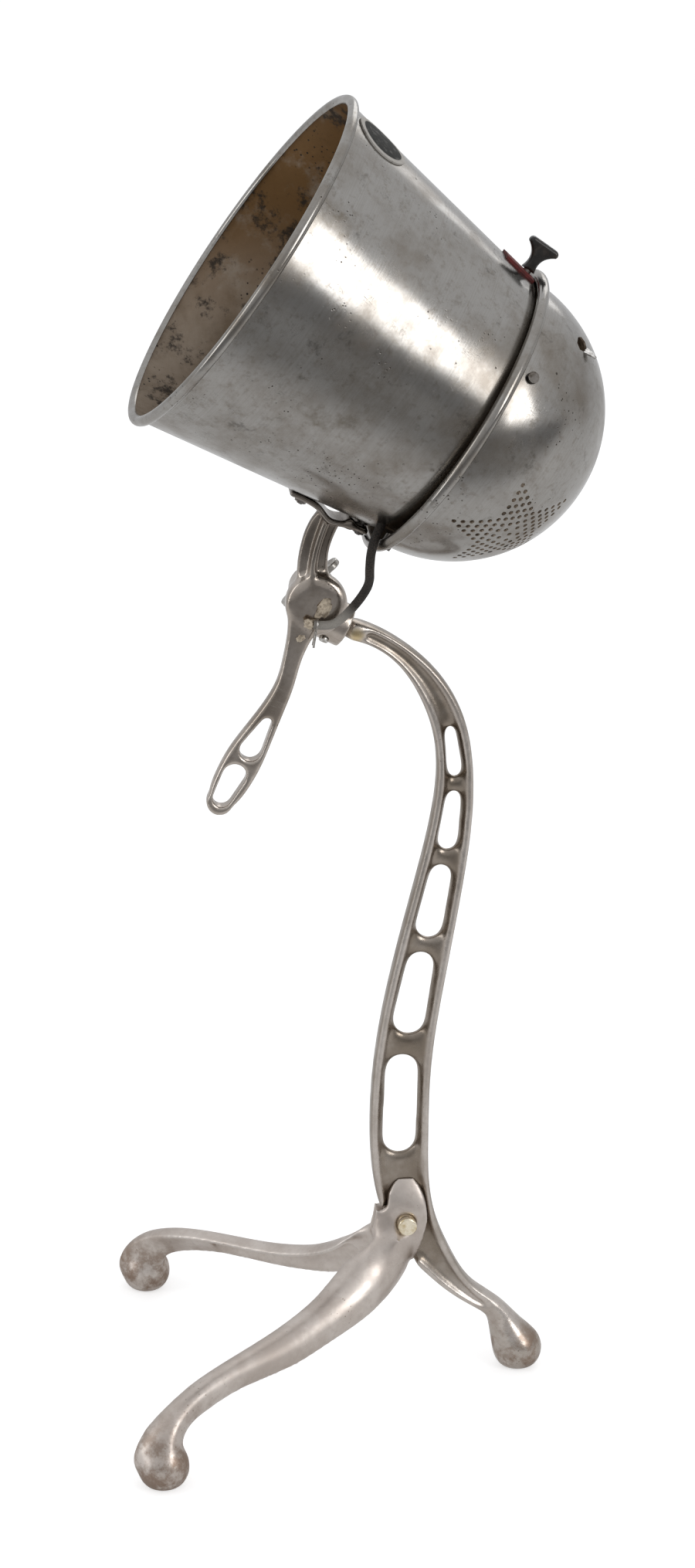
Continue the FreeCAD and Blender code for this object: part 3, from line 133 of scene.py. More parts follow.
table_dark, table_pale = -0.9, -0.3     # places along Y between which the table turns from dark to pale
floor_mesh = bpy.data.meshes.new("floor")
floor_shape = bmesh.new()
bmesh.ops.create_grid(floor_shape, x_segments=1, y_segments=1, size=9.0)
floor_shape.to_mesh(floor_mesh)
floor_shape.free()
floor = added("floor", floor_mesh)
floor_paint = bpy.data.materials.new("floor_paint")
floor_paint.use_nodes = True
floor_tree = floor_paint.node_tree
floor_shader = floor_tree.nodes["Principled BSDF"]
floor_place = shader_node(floor_tree, "TexCoord")["Object"]
floor_grain = shader_node(floor_tree, "TexNoise", {"Vector": floor_place, "Scale": 3.0, "Detail": 5.0})["Fac"]
floor_far = shader_node(floor_tree, "SeparateXYZ", {"Vector": floor_place})["Y"]
floor_white = between(floor_tree, floor_far, table_dark, table_pale)
floor_pale = shader_node(floor_tree, "MixRGB", {
    "Fac": floor_grain, "Color1": (0.69, 0.69, 0.69, 1), "Color2": (0.71, 0.71, 0.71, 1)})["Color"]
floor_colour = shader_node(floor_tree, "MixRGB", {
    "Fac": floor_white, "Color1": (0.4, 0.4, 0.4, 1), "Color2": floor_pale})["Color"]
floor_tree.links.new(floor_colour, floor_shader.inputs["Base Color"])
floor_shader.inputs["Roughness"].default_value = 0.9
floor_shader.inputs["Specular IOR Level"].default_value = 0.0
seen, glossy = ray_kinds(floor_tree)
floor_seen = shader_node(floor_tree, "Math", {
    0: seen, 1: between(floor_tree, floor_far, table_dark, table_pale, 0.95, 0.58)}, operation="MULTIPLY")[0]
floor_mirrored = shader_node(floor_tree, "Math", {
    0: glossy, 1: between(floor_tree, floor_far, table_dark, table_pale, 0.0, 0.2)}, operation="MULTIPLY")[0]
floor_glow = shader_node(floor_tree, "Math", {0: floor_seen, 1: floor_mirrored}, operation="ADD")[0]
floor_light = shader_node(floor_tree, "Emission", {"Color": (1, 1, 1, 1), "Strength": floor_glow})[0]
floor_both = shader_node(floor_tree, "AddShader", {0: floor_shader.outputs[0], 1: floor_light})[0]
floor_tree.links.new(floor_both, floor_tree.nodes["Material Output"].inputs["Surface"])
floor_mesh.materials.append(floor_paint)


# Stem: one nickel-plated casting, from the collar under the head down through the pierced web to the
# right-hand leg and its ball foot. The plate is worn, greyed and warm with tarnish in the sunk panels.
def clouds(tree, place, size, detail=6.0, roughness=0.6):
    """Cloudy pattern from 0 to 1 with blotches about size metres across."""
    return shader_node(tree, "TexNoise", {
        "Vector": place, "Scale": 1.0 / size, "Detail": detail, "Roughness": roughness})["Fac"]


def worked(tree, operation, first, second):
    """One sum of two values."""
    return shader_node(tree, "Math", {0: first, 1: second}, operation=operation, use_clamp=True)[0]


def mixed(tree, share, first, second):
    """Colour between two colours."""
    return shader_node(tree, "MixRGB", {"Fac": share, "Color1": first, "Color2": second})["Color"]


def specks(tree, place, spacing, size, patch, amount):
    """Scattered small dots, thicker in some patches than in others."""
    cell = shader_node(tree, "TexVoronoi", {"Vector": place, "Scale": 1.0 / spacing})["Distance"]
    dot = between(tree, cell, size * 0.6, size, 1.0, 0.0)
    crowd = between(tree, clouds(tree, place, patch, 3.0), 1.0 - amount, 1.12 - amount)
    return worked(tree, "MULTIPLY", dot, crowd)


def stretched(tree, place, turn, sizes):
    """The place turned about the Y axis and stretched, so that a pattern runs along one direction."""
    return shader_node(tree, "Mapping", {
        "Vector": place, "Rotation": (0, math.radians(turn), 0), "Scale": sizes}, vector_type="TEXTURE")[0]


def scratches(tree, place, turn, sizes, share):
    """Thin broken lines across a surface."""
    line = clouds(tree, stretched(tree, place, turn, sizes), 1.0, 2.0, 0.4)
    near = shader_node(tree, "Math", {0: line, 1: 0.5}, operation="SUBTRACT")[0]
    near = shader_node(tree, "Math", {0: near}, operation="ABSOLUTE")[0]
    thin = between(tree, near, 0.0, 0.012, 1.0, 0.0)
    broken = between(tree, clouds(tree, place, 0.012, 2.0), 1.0 - share, 1.1 - share)
    return worked(tree, "MULTIPLY", thin, broken)


def started(name):
    """New material: its tree, its shader and its place on the surface."""
    material = bpy.data.materials.new(name)
    material.use_nodes = True
    tree = material.node_tree
    return material, tree, tree.nodes["Principled BSDF"], shader_node(tree, "TexCoord")["Object"]


def bumped(tree, shader, height, depth, strength):
    """Raise the surface by a pattern, depth metres from low to high."""
    bump = shader_node(tree, "Bump", {"Height": height, "Distance": depth, "Strength": strength})[0]
    tree.links.new(bump, shader.inputs["Normal"])


def near_point(tree, place, point, inner, outer):
    """1 within inner metres of a point, falling to 0 at outer."""
    away = shader_node(tree, "VectorMath", {0: place, 1: point}, operation="DISTANCE")["Value"]
    return between(tree, away, inner, outer, 1.0, 0.0)


def cast_metal(name, clean, tarnish, grime, worn, roughness):
    """Worn plate on a casting: cloudy tarnish, pits, grime in the hollows, bright edges and fine scratches."""
    material, tree, shader, place = started(name)
    dull = between(tree, clouds(tree, place, 0.035), 0.36, 0.70)
    colour = mixed(tree, dull, clean, tarnish)
    fine = between(tree, clouds(tree, place, 0.0035, 5.0), 0.45, 0.75, 0.0, 0.5)
    colour = mixed(tree, fine, colour, tarnish)
    point = shader_node(tree, "NewGeometry")["Pointiness"]
    hollow = between(tree, point, 0.40, 0.485, 0.22, 0.0)
    colour = mixed(tree, hollow, colour, grime)
    patchy = between(tree, clouds(tree, place, 0.016, 4.0), 0.30, 0.58)
    edge = worked(tree, "MULTIPLY", between(tree, point, 0.508, 0.55, 0.0, 0.6), patchy)
    colour = mixed(tree, edge, colour, worn)
    pit = specks(tree, place, 0.0026, 0.2, 0.03, 0.46)
    colour = mixed(tree, worked(tree, "MULTIPLY", pit, 0.7), colour, grime)
    mark = scratches(tree, place, 20, (0.05, 0.0012, 0.0012), 0.46)
    colour = mixed(tree, worked(tree, "MULTIPLY", mark, 0.4), colour, worn)
    rough = between(tree, clouds(tree, place, 0.012), 0.3, 0.7, roughness[0], roughness[1])
    rough = worked(tree, "ADD", rough, worked(tree, "MULTIPLY", hollow, 0.2))
    tree.links.new(rough, shader.inputs["Roughness"])
    shader.inputs["Metallic"].default_value = 1.0
    grain = worked(tree, "SUBTRACT", clouds(tree, place, 0.0025, 4.0), worked(tree, "MULTIPLY", pit, 0.5))
    bumped(tree, shader, grain, 0.0002, 0.35)
    tree.links.new(colour, shader.inputs["Base Color"])
    return material, tree, shader, place, colour


def rusted(tree, shader, place, colour, height):
    """Brown rust in blotches up to a height above the floor."""
    level = shader_node(tree, "SeparateXYZ", {"Vector": place})["Z"]
    low = between(tree, level, height * 0.3, height, 1.0, 0.0)
    blotch = between(tree, clouds(tree, place, 0.012, 7.0, 0.7), 0.40, 0.62, 0.0, 0.8)
    rusty = mixed(tree, worked(tree, "MULTIPLY", low, blotch), colour, (0.21, 0.135, 0.09, 1))
    tree.links.new(rusty, shader.inputs["Base Color"])


def cast_copy(name, cell, rounds, soft=()):
    """A casting's CAD shape in even cells, its edges worn round in so many rounds of smoothing.

    Each soft place, with its reach and rounds, is run together more."""
    piece = added(name + "_cast", frame["nodes"][name].data.copy())
    shape = bmesh.new()
    shape.from_mesh(piece.data)
    bmesh.ops.remove_doubles(shape, verts=shape.verts, dist=1e-6)
    shape.to_mesh(piece.data)
    shape.free()
    grid = piece.modifiers.new("even_cells", "REMESH")
    grid.mode = "VOXEL"
    grid.voxel_size = cell
    even = bpy.data.meshes.new_from_object(piece.evaluated_get(bpy.context.evaluated_depsgraph_get()))
    piece.modifiers.clear()
    piece.data = even
    shape = bmesh.new()
    shape.from_mesh(even)
    everywhere = (Vector((0, 0, 0)), math.inf, rounds)
    for middle, reach, times in (everywhere, *soft):
        near = [vert for vert in shape.verts if (vert.co - Vector(middle)).length < reach]
        before = [vert.co.copy() for vert in near]
        for step in range(times):
            bmesh.ops.smooth_vert(shape, verts=near, factor=0.5,
                                  use_axis_x=True, use_axis_y=True, use_axis_z=True)
        for vert, old in zip(near, before):
            share = min(1.0, 2.0 - 2.0 * (old - Vector(middle)).length / reach)
            vert.co = old.lerp(vert.co, share)
    for face in shape.faces:
        face.smooth = True
    shape.to_mesh(even)
    shape.free()
    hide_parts(name)
    return piece


def coated(piece, material):
    """Give a piece one material all over."""
    piece.data.materials.clear()
    piece.data.materials.append(material)


stem_web, stem_rim = 0.0043, 0.0066     # half depths of the sunk panels and of the flanges beside them
panels_from, panels_full = 0.04, 0.07   # heights between which the sunk panels begin
stem_rust = 0.045                       # rust reaches this far above the floor
stem_foot = (0.0875, 0.0, 0.030)        # where the stem runs into its foot
brass_patch = (0.0026, -0.0045, 0.4423)
stem_plate, tree, shader, place, colour = cast_metal(
    "stem_plate", clean=(0.60, 0.548, 0.503, 1), tarnish=(0.40, 0.35, 0.305, 1),
    grime=(0.17, 0.13, 0.10, 1), worn=(0.78, 0.74, 0.70, 1), roughness=(0.2, 0.36))
across = shader_node(tree, "SeparateXYZ", {"Vector": place})
depth = shader_node(tree, "Math", {0: across["Y"]}, operation="ABSOLUTE")[0]
sunk = worked(tree, "MULTIPLY", between(tree, depth, stem_web, stem_rim, 0.9, 0.0),
              between(tree, across["Z"], panels_from, panels_full))
sunk = worked(tree, "MULTIPLY", sunk, between(tree, clouds(tree, place, 0.02, 5.0), 0.25, 0.6, 0.55, 1.0))
colour = mixed(tree, sunk, colour, (0.22, 0.18, 0.14, 1))
colour = mixed(tree, near_point(tree, place, brass_patch, 0.0025, 0.0055), colour, (0.62, 0.49, 0.28, 1))
rusted(tree, shader, place, colour, stem_rust)
stem = cast_copy("stem", cell=0.0009, rounds=60, soft=[(stem_foot, 0.022, 30)])
coated(stem, stem_plate)
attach(stem, "stand")

# Legs: two castings of the same nickel-plated metal, rounded outside and hollow underneath, each pinned by
# its flat ear against the stem's web and swelling to a ball foot, where rust has come through the plate.
leg_rust = 0.05
leg_plate, tree, shader, place, colour = cast_metal(
    "leg_plate", clean=(0.64, 0.582, 0.535, 1), tarnish=(0.48, 0.417, 0.372, 1),
    grime=(0.22, 0.17, 0.135, 1), worn=(0.82, 0.79, 0.75, 1), roughness=(0.32, 0.48))
rusted(tree, shader, place, colour, leg_rust)
for name, side in (("front_leg", -1), ("rear_leg", 1)):
    leg_foot = (-0.112, side * 0.115, 0.024)
    ear_root = (0.017, side * 0.012, 0.088)
    leg = cast_copy(name, cell=0.0009, rounds=10, soft=[(leg_foot, 0.036, 45), (ear_root, 0.027, 200)])
    coated(leg, leg_plate)
    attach(leg, "stand")


# Leg pin and nut: a turned brass rivet, its domed head rubbed pale, and a plain nut behind.
# It goes through both ears and the web, and its end is hammered over the nut.
def plain_metal(name, clean, stain, roughness, blotch):
    """Small turned or stamped metal, slightly grained, with stains about blotch metres across."""
    material, tree, shader, place = started(name)
    dull = between(tree, clouds(tree, place, blotch), 0.40, 0.68)
    dull = worked(tree, "MAXIMUM", dull, specks(tree, place, blotch / 3, 0.3, blotch * 2, 0.5))
    tree.links.new(mixed(tree, dull, clean, stain), shader.inputs["Base Color"])
    rough = between(tree, clouds(tree, place, blotch / 4), 0.3, 0.7, roughness[0], roughness[1])
    tree.links.new(rough, shader.inputs["Roughness"])
    shader.inputs["Metallic"].default_value = 1.0
    bumped(tree, shader, clouds(tree, place, 0.0008, 3.0), 0.00006, 0.5)
    return material


pale_brass = plain_metal("pale_brass", (0.88, 0.80, 0.64, 1), (0.62, 0.50, 0.30, 1), (0.22, 0.42), 0.004)
dark_steel = plain_metal("dark_steel", (0.30, 0.28, 0.26, 1), (0.10, 0.075, 0.055, 1), (0.32, 0.55), 0.004)
coated(frame["nodes"]["leg_pin"], pale_brass)
coated(frame["nodes"]["leg_nut"], dark_steel)

# Knuckle: a cast barrel that swivels on the stem's tenon, with the lug that carries the head's pivot,
# and the bright set screw that keeps it on. Its plate, like the handle's, is darker than the stand's.
head_plate, tree, shader, place, colour = cast_metal(
    "head_plate", clean=(0.50, 0.445, 0.395, 1), tarnish=(0.31, 0.263, 0.22, 1),
    grime=(0.08, 0.062, 0.046, 1), worn=(0.80, 0.76, 0.71, 1), roughness=(0.14, 0.28))
# Painted shade: between these heights the handle's arm is darkened, standing for the shade the reflector casts
# on it.
arm_shade_from, arm_shade_full = 0.476, 0.496       # heights between which the handle's arm turns dark
height = shader_node(tree, "SeparateXYZ", {"Vector": place})["Z"]
painted_arm_shade = between(tree, height, arm_shade_from, arm_shade_full, 0.0, 0.7)
tree.links.new(mixed(tree, painted_arm_shade, colour, (0.10, 0.082, 0.066, 1)), shader.inputs["Base Color"])
bright_steel = plain_metal("bright_steel", (0.62, 0.60, 0.57, 1), (0.28, 0.25, 0.21, 1), (0.2, 0.36), 0.003)
knuckle = cast_copy("knuckle", cell=0.0006, rounds=8)
coated(knuckle, head_plate)
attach(knuckle, "knuckle")
coated(frame["nodes"]["swivel_screw"], bright_steel)

# Handle casting: hub, curved arm with its rib, strap under the reflector and pierced grip, all in one.
# The arm's plate has the reflector's shade painted dark on it, with worn edges on the grip.
hub_middle = (-0.020, -0.022, 0.464)
handle = cast_copy("handle_casting", cell=0.0007, rounds=18, soft=[(hub_middle, 0.026, 40)])
coated(handle, head_plate)
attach(handle, "head")

# Pivot stud, washer and wing nut: steel stud cast into the hub, steel washer and a nickel-plated wing nut
# on the far side, which clamps the tilt.
dull_nickel = plain_metal("dull_nickel", (0.50, 0.48, 0.45, 1), (0.22, 0.19, 0.16, 1), (0.22, 0.4), 0.006)
coated(frame["nodes"]["pivot_stud"], dark_steel)
coated(frame["nodes"]["pivot_washer"], dark_steel)
coated(frame["nodes"]["wing_nut"], dull_nickel)

# Strap screws, nuts and washer: small turned and stamped steel hardware, darkened with age.
# The screws go up through the strap's ends and hold the reflector on it.
for name in ("strap_screws", "strap_nuts", "strap_washer"):
    coated(frame["nodes"][name], dark_steel)

# Shade: the spun aluminium reflector, a cone with its mouth rolled over a wire and its narrow neck running
# into the dome. Outside it is polished, scratched and stained; inside it has gone brown with heat.
head_angle = 35.6                       # degrees
pivot = Vector(next(joint for joint in frame["joints"] if joint["name"] == "head_tilt")["pos_m"])
head_frame = Matrix.Translation(pivot) @ Matrix.Rotation(math.radians(head_angle), 4, "Y")
axis_y, axis_z = -0.019, 0.1265         # the reflector's axis in the head's frame
axis_frame = head_frame @ Matrix.Translation((0, axis_y, axis_z))
sheet = 0.0009
mouth_x, mouth_radius = -0.1394, 0.0964
ring_x, ring_radius = -0.0039, 0.0748
neck_x = 0.015
mouth_bead = 0.0028
bead_overlap = 0.0004
key_x, key_hole = -0.0135, 0.004
slot_x, slot_turn, slot_size = -0.1235, 168.0, (0.012, 0.0036)
notch_x, notch_turn, notch_length, notch_width = -0.0058, 152.0, 0.025, 0.0064
punch_depth = 0.02                      # far more than the sheet
spin_steps = 224
sharp_edge = 40                         # degrees


def cone_radius(x):
    """Outside radius of the cone at a place along its axis."""
    return ring_radius + (x - ring_x) * (mouth_radius - ring_radius) / (mouth_x - ring_x)


def spun(name, outline, steps, closed):
    """Mesh turned from an outline of (x, radius) points about the X axis."""
    shape = bmesh.new()
    line = [shape.verts.new((x, 0, radius)) for x, radius in outline]
    pairs = list(zip(line, line[1:])) + ([(line[-1], line[0])] if closed else [])
    edges = [shape.edges.new(pair) for pair in pairs]
    bmesh.ops.spin(shape, geom=line + edges, cent=(0, 0, 0), axis=(1, 0, 0), angle=math.tau, steps=steps,
                   use_merge=True)
    bmesh.ops.remove_doubles(shape, verts=shape.verts, dist=1e-7)
    bmesh.ops.recalc_face_normals(shape, faces=shape.faces)
    mesh = bpy.data.meshes.new(name)
    shape.to_mesh(mesh)
    shape.free()
    return added(name, mesh)


def arc_points(middle_x, middle_radius, size, start, end, steps):
    """Points of an arc in an outline, from one angle to another in degrees."""
    angles = [math.radians(start + (end - start) * step / steps) for step in range(steps + 1)]
    return [(middle_x + size * math.cos(a), middle_radius + size * math.sin(a)) for a in angles]


def bored(shape, place, length, radius, sides=24):
    """Add a round punch along a place's Z axis to a cutter."""
    bmesh.ops.create_cone(shape, cap_ends=True, segments=sides, radius1=radius, radius2=radius, depth=length,
                          matrix=place)


def cut_away(piece, cutter_shape):
    """Cut a cutter out of a piece."""
    mesh = bpy.data.meshes.new("cutter")
    cutter_shape.to_mesh(mesh)
    cutter_shape.free()
    cutter = added("cutter", mesh)
    cut = piece.modifiers.new("cut", "BOOLEAN")
    cut.solver = "EXACT"
    cut.object = cutter
    ready = piece.evaluated_get(bpy.context.evaluated_depsgraph_get())
    whole = piece.data
    piece.data = bpy.data.meshes.new_from_object(ready)
    piece.modifiers.clear()
    bpy.data.meshes.remove(whole)
    bpy.data.objects.remove(cutter)


def smoothed(piece, sharp):
    """Round faces shaded smooth, edges steeper than sharp degrees kept."""
    shape = bmesh.new()
    shape.from_mesh(piece.data)
    for face in shape.faces:
        face.smooth = True
    for edge in shape.edges:
        edge.smooth = len(edge.link_faces) == 2 and edge.calc_face_angle() < math.radians(sharp)
    shape.to_mesh(piece.data)
    shape.free()


def around(turn, x, height):
    """Place on the reflector's axis, turned from the top towards the viewer, with Z outwards."""
    return Matrix.Rotation(math.radians(turn), 4, "X") @ Matrix.Translation((x, 0, height))


bead_x = mouth_x + mouth_bead
bead_middle = cone_radius(bead_x) + bead_overlap
outline = []
wall_steps = 24
wall_start = bead_x + mouth_bead
for step in range(wall_steps + 1):
    x = neck_x + (wall_start - neck_x) * step / wall_steps
    outline.append((x, cone_radius(x)))
outline += arc_points(bead_x, bead_middle, mouth_bead, 10, 260, 20)
outline.append((bead_x, cone_radius(bead_x) - sheet))
outline.append((neck_x, cone_radius(neck_x) - sheet))
shade = spun("shade_spun", outline, spin_steps, True)
tools = bmesh.new()
bored(tools, around(0, key_x, ring_radius), 2 * punch_depth, key_hole)
bmesh.ops.create_cube(tools, size=1.0, matrix=around(slot_turn, slot_x, cone_radius(slot_x))
                      @ Matrix.Diagonal((*slot_size, punch_depth, 1)))
bmesh.ops.create_cube(tools, size=1.0, matrix=around(notch_turn, notch_x + notch_length / 2, ring_radius)
                      @ Matrix.Diagonal((notch_length, notch_width, punch_depth, 1)))
cut_away(shade, tools)
smoothed(shade, sharp_edge)


def spun_metal(name, clean, stain, roughness):
    """Polished spun sheet: lathe rings, grey clouds, brown stains, pits, rust at the notch and scratches."""
    material, tree, shader, place = started(name)
    rings = clouds(tree, stretched(tree, place, head_angle, (0.0007, 0.07, 0.07)), 1.0, 3.0)
    dull = between(tree, clouds(tree, place, 0.05, 7.0, 0.62), 0.40, 0.68)
    colour = mixed(tree, dull, clean, stain)
    colour = mixed(tree, between(tree, rings, 0.4, 0.7, 0.0, 0.22), colour, stain)
    fine = between(tree, clouds(tree, place, 0.004, 6.0, 0.7), 0.50, 0.70, 0.0, 0.6)
    colour = mixed(tree, fine, colour, stain)
    brown = between(tree, clouds(tree, place, 0.026, 6.0, 0.7), 0.56, 0.74, 0.0, 0.55)
    colour = mixed(tree, brown, colour, (0.12, 0.096, 0.066, 1))
    smudge = between(tree, clouds(tree, place, 0.014, 7.0, 0.75), 0.57, 0.70, 0.0, 0.55)
    colour = mixed(tree, smudge, colour, (0.075, 0.066, 0.055, 1))
    pit = specks(tree, place, 0.0027, 0.2, 0.035, 0.49)
    pit = worked(tree, "MAXIMUM", pit, specks(tree, place, 0.008, 0.11, 0.05, 0.5))
    colour = mixed(tree, pit, colour, (0.05, 0.042, 0.035, 1))
    notch = axis_frame @ around(notch_turn, notch_x, ring_radius) @ Vector((0, 0, 0))
    rusty = worked(tree, "MULTIPLY", near_point(tree, place, notch, 0.004, 0.016), fine)
    colour = mixed(tree, rusty, colour, (0.20, 0.10, 0.04, 1))
    mark = scratches(tree, place, head_angle - 70, (0.03, 0.0011, 0.0011), 0.48)
    mark = worked(tree, "MAXIMUM", mark, scratches(tree, place, head_angle + 8, (0.05, 0.0016, 0.0016), 0.42))
    colour = mixed(tree, worked(tree, "MULTIPLY", mark, 0.45), colour, (0.09, 0.085, 0.08, 1))
    tree.links.new(colour, shader.inputs["Base Color"])
    rough = between(tree, dull, 0.0, 1.0, roughness[0], roughness[1])
    rough = worked(tree, "ADD", rough, worked(tree, "MULTIPLY", worked(tree, "ADD", pit, mark), 0.2))
    tree.links.new(rough, shader.inputs["Roughness"])
    shader.inputs["Metallic"].default_value = 1.0
    dents = clouds(tree, place, 0.035, 2.0, 0.4)
    relief = worked(tree, "ADD", dents, worked(tree, "MULTIPLY", rings, 0.035))
    relief = worked(tree, "SUBTRACT", relief, worked(tree, "MULTIPLY", pit, 0.10))
    bumped(tree, shader, relief, 0.0009, 0.5)
    return material


polished = spun_metal("polished_aluminium", clean=(0.35, 0.338, 0.32, 1), stain=(0.215, 0.19, 0.162, 1),
                      roughness=(0.17, 0.28))

heat_brown, tree, shader, place = started("heat_browned_aluminium")
drift = between(tree, clouds(tree, place, 0.05, 7.0, 0.65), 0.36, 0.66)
inside = mixed(tree, drift, (0.40, 0.33, 0.26, 1), (0.23, 0.175, 0.12, 1))
orange_from, orange_full = 0.58, 0.66   # heights between which the brown turns to orange
height = shader_node(tree, "SeparateXYZ", {"Vector": place})["Z"]
orange = between(tree, clouds(tree, place, 0.034, 7.0, 0.68), 0.32, 0.50, 0.0, 0.95)
orange = worked(tree, "MULTIPLY", orange, between(tree, height, orange_from, orange_full))
inside = mixed(tree, orange, inside, (0.21, 0.11, 0.034, 1))
soot = between(tree, clouds(tree, place, 0.016, 8.0, 0.74), 0.53, 0.64, 0.0, 0.9)
inside = mixed(tree, soot, inside, (0.03, 0.025, 0.02, 1))
inside = mixed(tree, specks(tree, place, 0.003, 0.24, 0.03, 0.5), inside, (0.02, 0.016, 0.012, 1))
tree.links.new(inside, shader.inputs["Base Color"])
tree.links.new(between(tree, drift, 0.0, 1.0, 0.42, 0.6), shader.inputs["Roughness"])
shader.inputs["Metallic"].default_value = 0.6
bumped(tree, shader, clouds(tree, place, 0.006, 5.0), 0.0003, 0.5)

shade.data.materials.append(polished)
shade.data.materials.append(heat_brown)
for face in shade.data.polygons:
    middle = Vector((0, face.center.y, face.center.z))
    face.material_index = int(face.normal.dot(middle) < 0 and face.center.x > bead_x)
shade.data.transform(axis_frame)
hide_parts("shade")
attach(shade, "head")

# Badge: a thin disc of stamped, nickel-plated sheet, fixed on top of the reflector near its mouth.
# Its rim is rubbed bright, and the dark ground inside it is plain here.
badge_x, badge_turn = -0.1164, 11.0
badge_ground, badge_step = 0.0132, 0.0006   # radius of the dark ground, and the width of its edge
badge_middle = axis_frame @ around(badge_turn, badge_x, cone_radius(badge_x)) @ Vector((0, 0, 0))
badge_nickel, tree, shader, place = started("badge_nickel")
ground = near_point(tree, place, badge_middle, badge_ground - badge_step, badge_ground)
rubbed = between(tree, clouds(tree, place, 0.003, 6.0), 0.5, 0.72, 0.0, 0.5)
rim_colour = mixed(tree, rubbed, (0.42, 0.40, 0.37, 1), (0.16, 0.14, 0.12, 1))
ground_colour = mixed(tree, rubbed, (0.014, 0.014, 0.012, 1), (0.10, 0.09, 0.08, 1))
tree.links.new(mixed(tree, ground, rim_colour, ground_colour), shader.inputs["Base Color"])
tree.links.new(between(tree, rubbed, 0.0, 0.5, 0.7, 0.5), shader.inputs["Roughness"])
shader.inputs["Specular IOR Level"].default_value = 0.2
bumped(tree, shader, worked(tree, "SUBTRACT", clouds(tree, place, 0.0015, 3.0), ground), 0.0002, 0.6)
coated(frame["nodes"]["badge_plate"], badge_nickel)

# Dome: the spun aluminium back with a rolled rim, its star of round vent holes punched through the lower
# near side, and a small tear high on the right where the sheet has split.
dome_radius = 0.078
dome_bead = 0.0031
dome_x, dome_drop, dome_lean = -0.0016, 0.0018, 2.5
dome_frame = (axis_frame @ Matrix.Translation((dome_x, 0, -dome_drop))
              @ Matrix.Rotation(math.radians(-dome_lean), 4, "Y"))
star_from_axis, star_turn, star_reach, star_waist = 53.0, 119.7, 0.0344, 0.0166
vent_radius, vent_steps, middle_rings = 0.00125, 5, (1, 3, 5)
vent_depth, vent_sides = 0.006, 14
tear_from_axis, tear_turn, tear_twist = 67.0, 21.3, 0.5
tear_radius, tear_squeeze, tear_depth, tear_sides = 0.0066, 0.62, 0.008, 7
rim_screw_x, rim_screw_turn = 0.0074, 56.7
rim_hole_radius, rim_hole_depth, rim_hole_sides = 0.0016, 0.03, 16
dome_arc_steps, dome_spin_steps = 64, 192

outer_arc = arc_points(0, 0, dome_radius, 0, 88, dome_arc_steps)
inner_arc = arc_points(0, 0, dome_radius - sheet, 90, 0, dome_arc_steps)
bead_arc = arc_points(0, dome_radius + dome_bead - bead_overlap, dome_bead, -65, 245, 28)
dome = spun("dome_spun", outer_arc + bead_arc + inner_arc, dome_spin_steps, False)


def out_of_dome(direction):
    """Place on the dome's outside in a direction from its middle, with Z outwards."""
    return Matrix.Translation(direction * dome_radius) @ direction.to_track_quat("Z", "Y").to_matrix().to_4x4()


tools = bmesh.new()
aim = Matrix.Rotation(math.radians(star_turn), 3, "X") @ Matrix.Rotation(math.radians(-star_from_axis), 3, "Y")
vents = [Vector((0, 0))]
for turn in range(0, 360, 72):
    corners = [(reach, math.radians(turn + side))
               for reach, side in ((star_reach, 0), (star_waist, -36), (star_waist, 36))]
    tip, left, right = [Vector((reach * math.cos(angle), reach * math.sin(angle))) for reach, angle in corners]
    for row in range(vent_steps):
        first = tip + (left - tip) * (row / vent_steps)
        vents += [first + (right - left) * (step / vent_steps) for step in range(row + 1)]
    for index, holes in enumerate(middle_rings):
        share = (index + 1) / len(middle_rings)
        vents += [(left + (right - left) * (step / holes)) * share for step in range(holes)]
for vent in vents:
    heading = Matrix.Rotation(math.atan2(vent.y, vent.x), 3, "X")
    lean = Matrix.Rotation(-vent.length / dome_radius, 3, "Y")
    bored(tools, out_of_dome(aim @ heading @ lean @ Vector((1, 0, 0))), vent_depth, vent_radius, vent_sides)
for turn in (rim_screw_turn, rim_screw_turn + 120, rim_screw_turn + 240):
    bored(tools, around(turn, rim_screw_x, dome_radius), rim_hole_depth, rim_hole_radius, rim_hole_sides)
tear = out_of_dome(Matrix.Rotation(math.radians(tear_turn), 3, "X")
                   @ Matrix.Rotation(math.radians(-tear_from_axis), 3, "Y") @ Vector((1, 0, 0)))
tear_shape = tear @ Matrix.Rotation(tear_twist, 4, "Z") @ Matrix.Diagonal((1, tear_squeeze, 1, 1))
bored(tools, tear_shape, tear_depth, tear_radius, tear_sides)
cut_away(dome, tools)
smoothed(dome, sharp_edge)
dome.data.materials.append(polished)
dome.data.materials.append(heat_brown)
for face in dome.data.polygons:
    face.material_index = int(face.normal.dot(face.center) < 0 and face.center.length < dome_radius)
dome.data.transform(dome_frame)
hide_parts("dome")
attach(dome, "head")

# Torn flap: the tongue of the dome's aluminium sheet that was bent out when it split.
# It still hangs on at the tear's edge, bare and bright.
flap_length, flap_width, flap_rise, flap_turn = 0.0062, 0.0072, 0.0030, -62.0
flap_taper, flap_curl = 0.7, 0.4
torn_edge = 0.0034                      # from the tear's middle to the flap's root
flap_shape = bmesh.new()
bmesh.ops.create_grid(flap_shape, x_segments=8, y_segments=5, size=0.5)
for vert in flap_shape.verts:
    along = vert.co.x + 0.5
    vert.co = Vector((torn_edge + flap_length * along,
                      vert.co.y * flap_width * (1 - flap_taper * along ** 1.5),
                      flap_rise * along * (1 + flap_curl * (1 - along))))
bmesh.ops.solidify(flap_shape, geom=flap_shape.faces, thickness=sheet)
bmesh.ops.recalc_face_normals(flap_shape, faces=flap_shape.faces)
bmesh.ops.transform(flap_shape, verts=flap_shape.verts,
                    matrix=dome_frame @ tear @ Matrix.Rotation(math.radians(flap_turn), 4, "Z"))
flap_mesh = bpy.data.meshes.new("torn_flap")
flap_shape.to_mesh(flap_mesh)
flap_shape.free()
flap = added("torn_flap", flap_mesh)
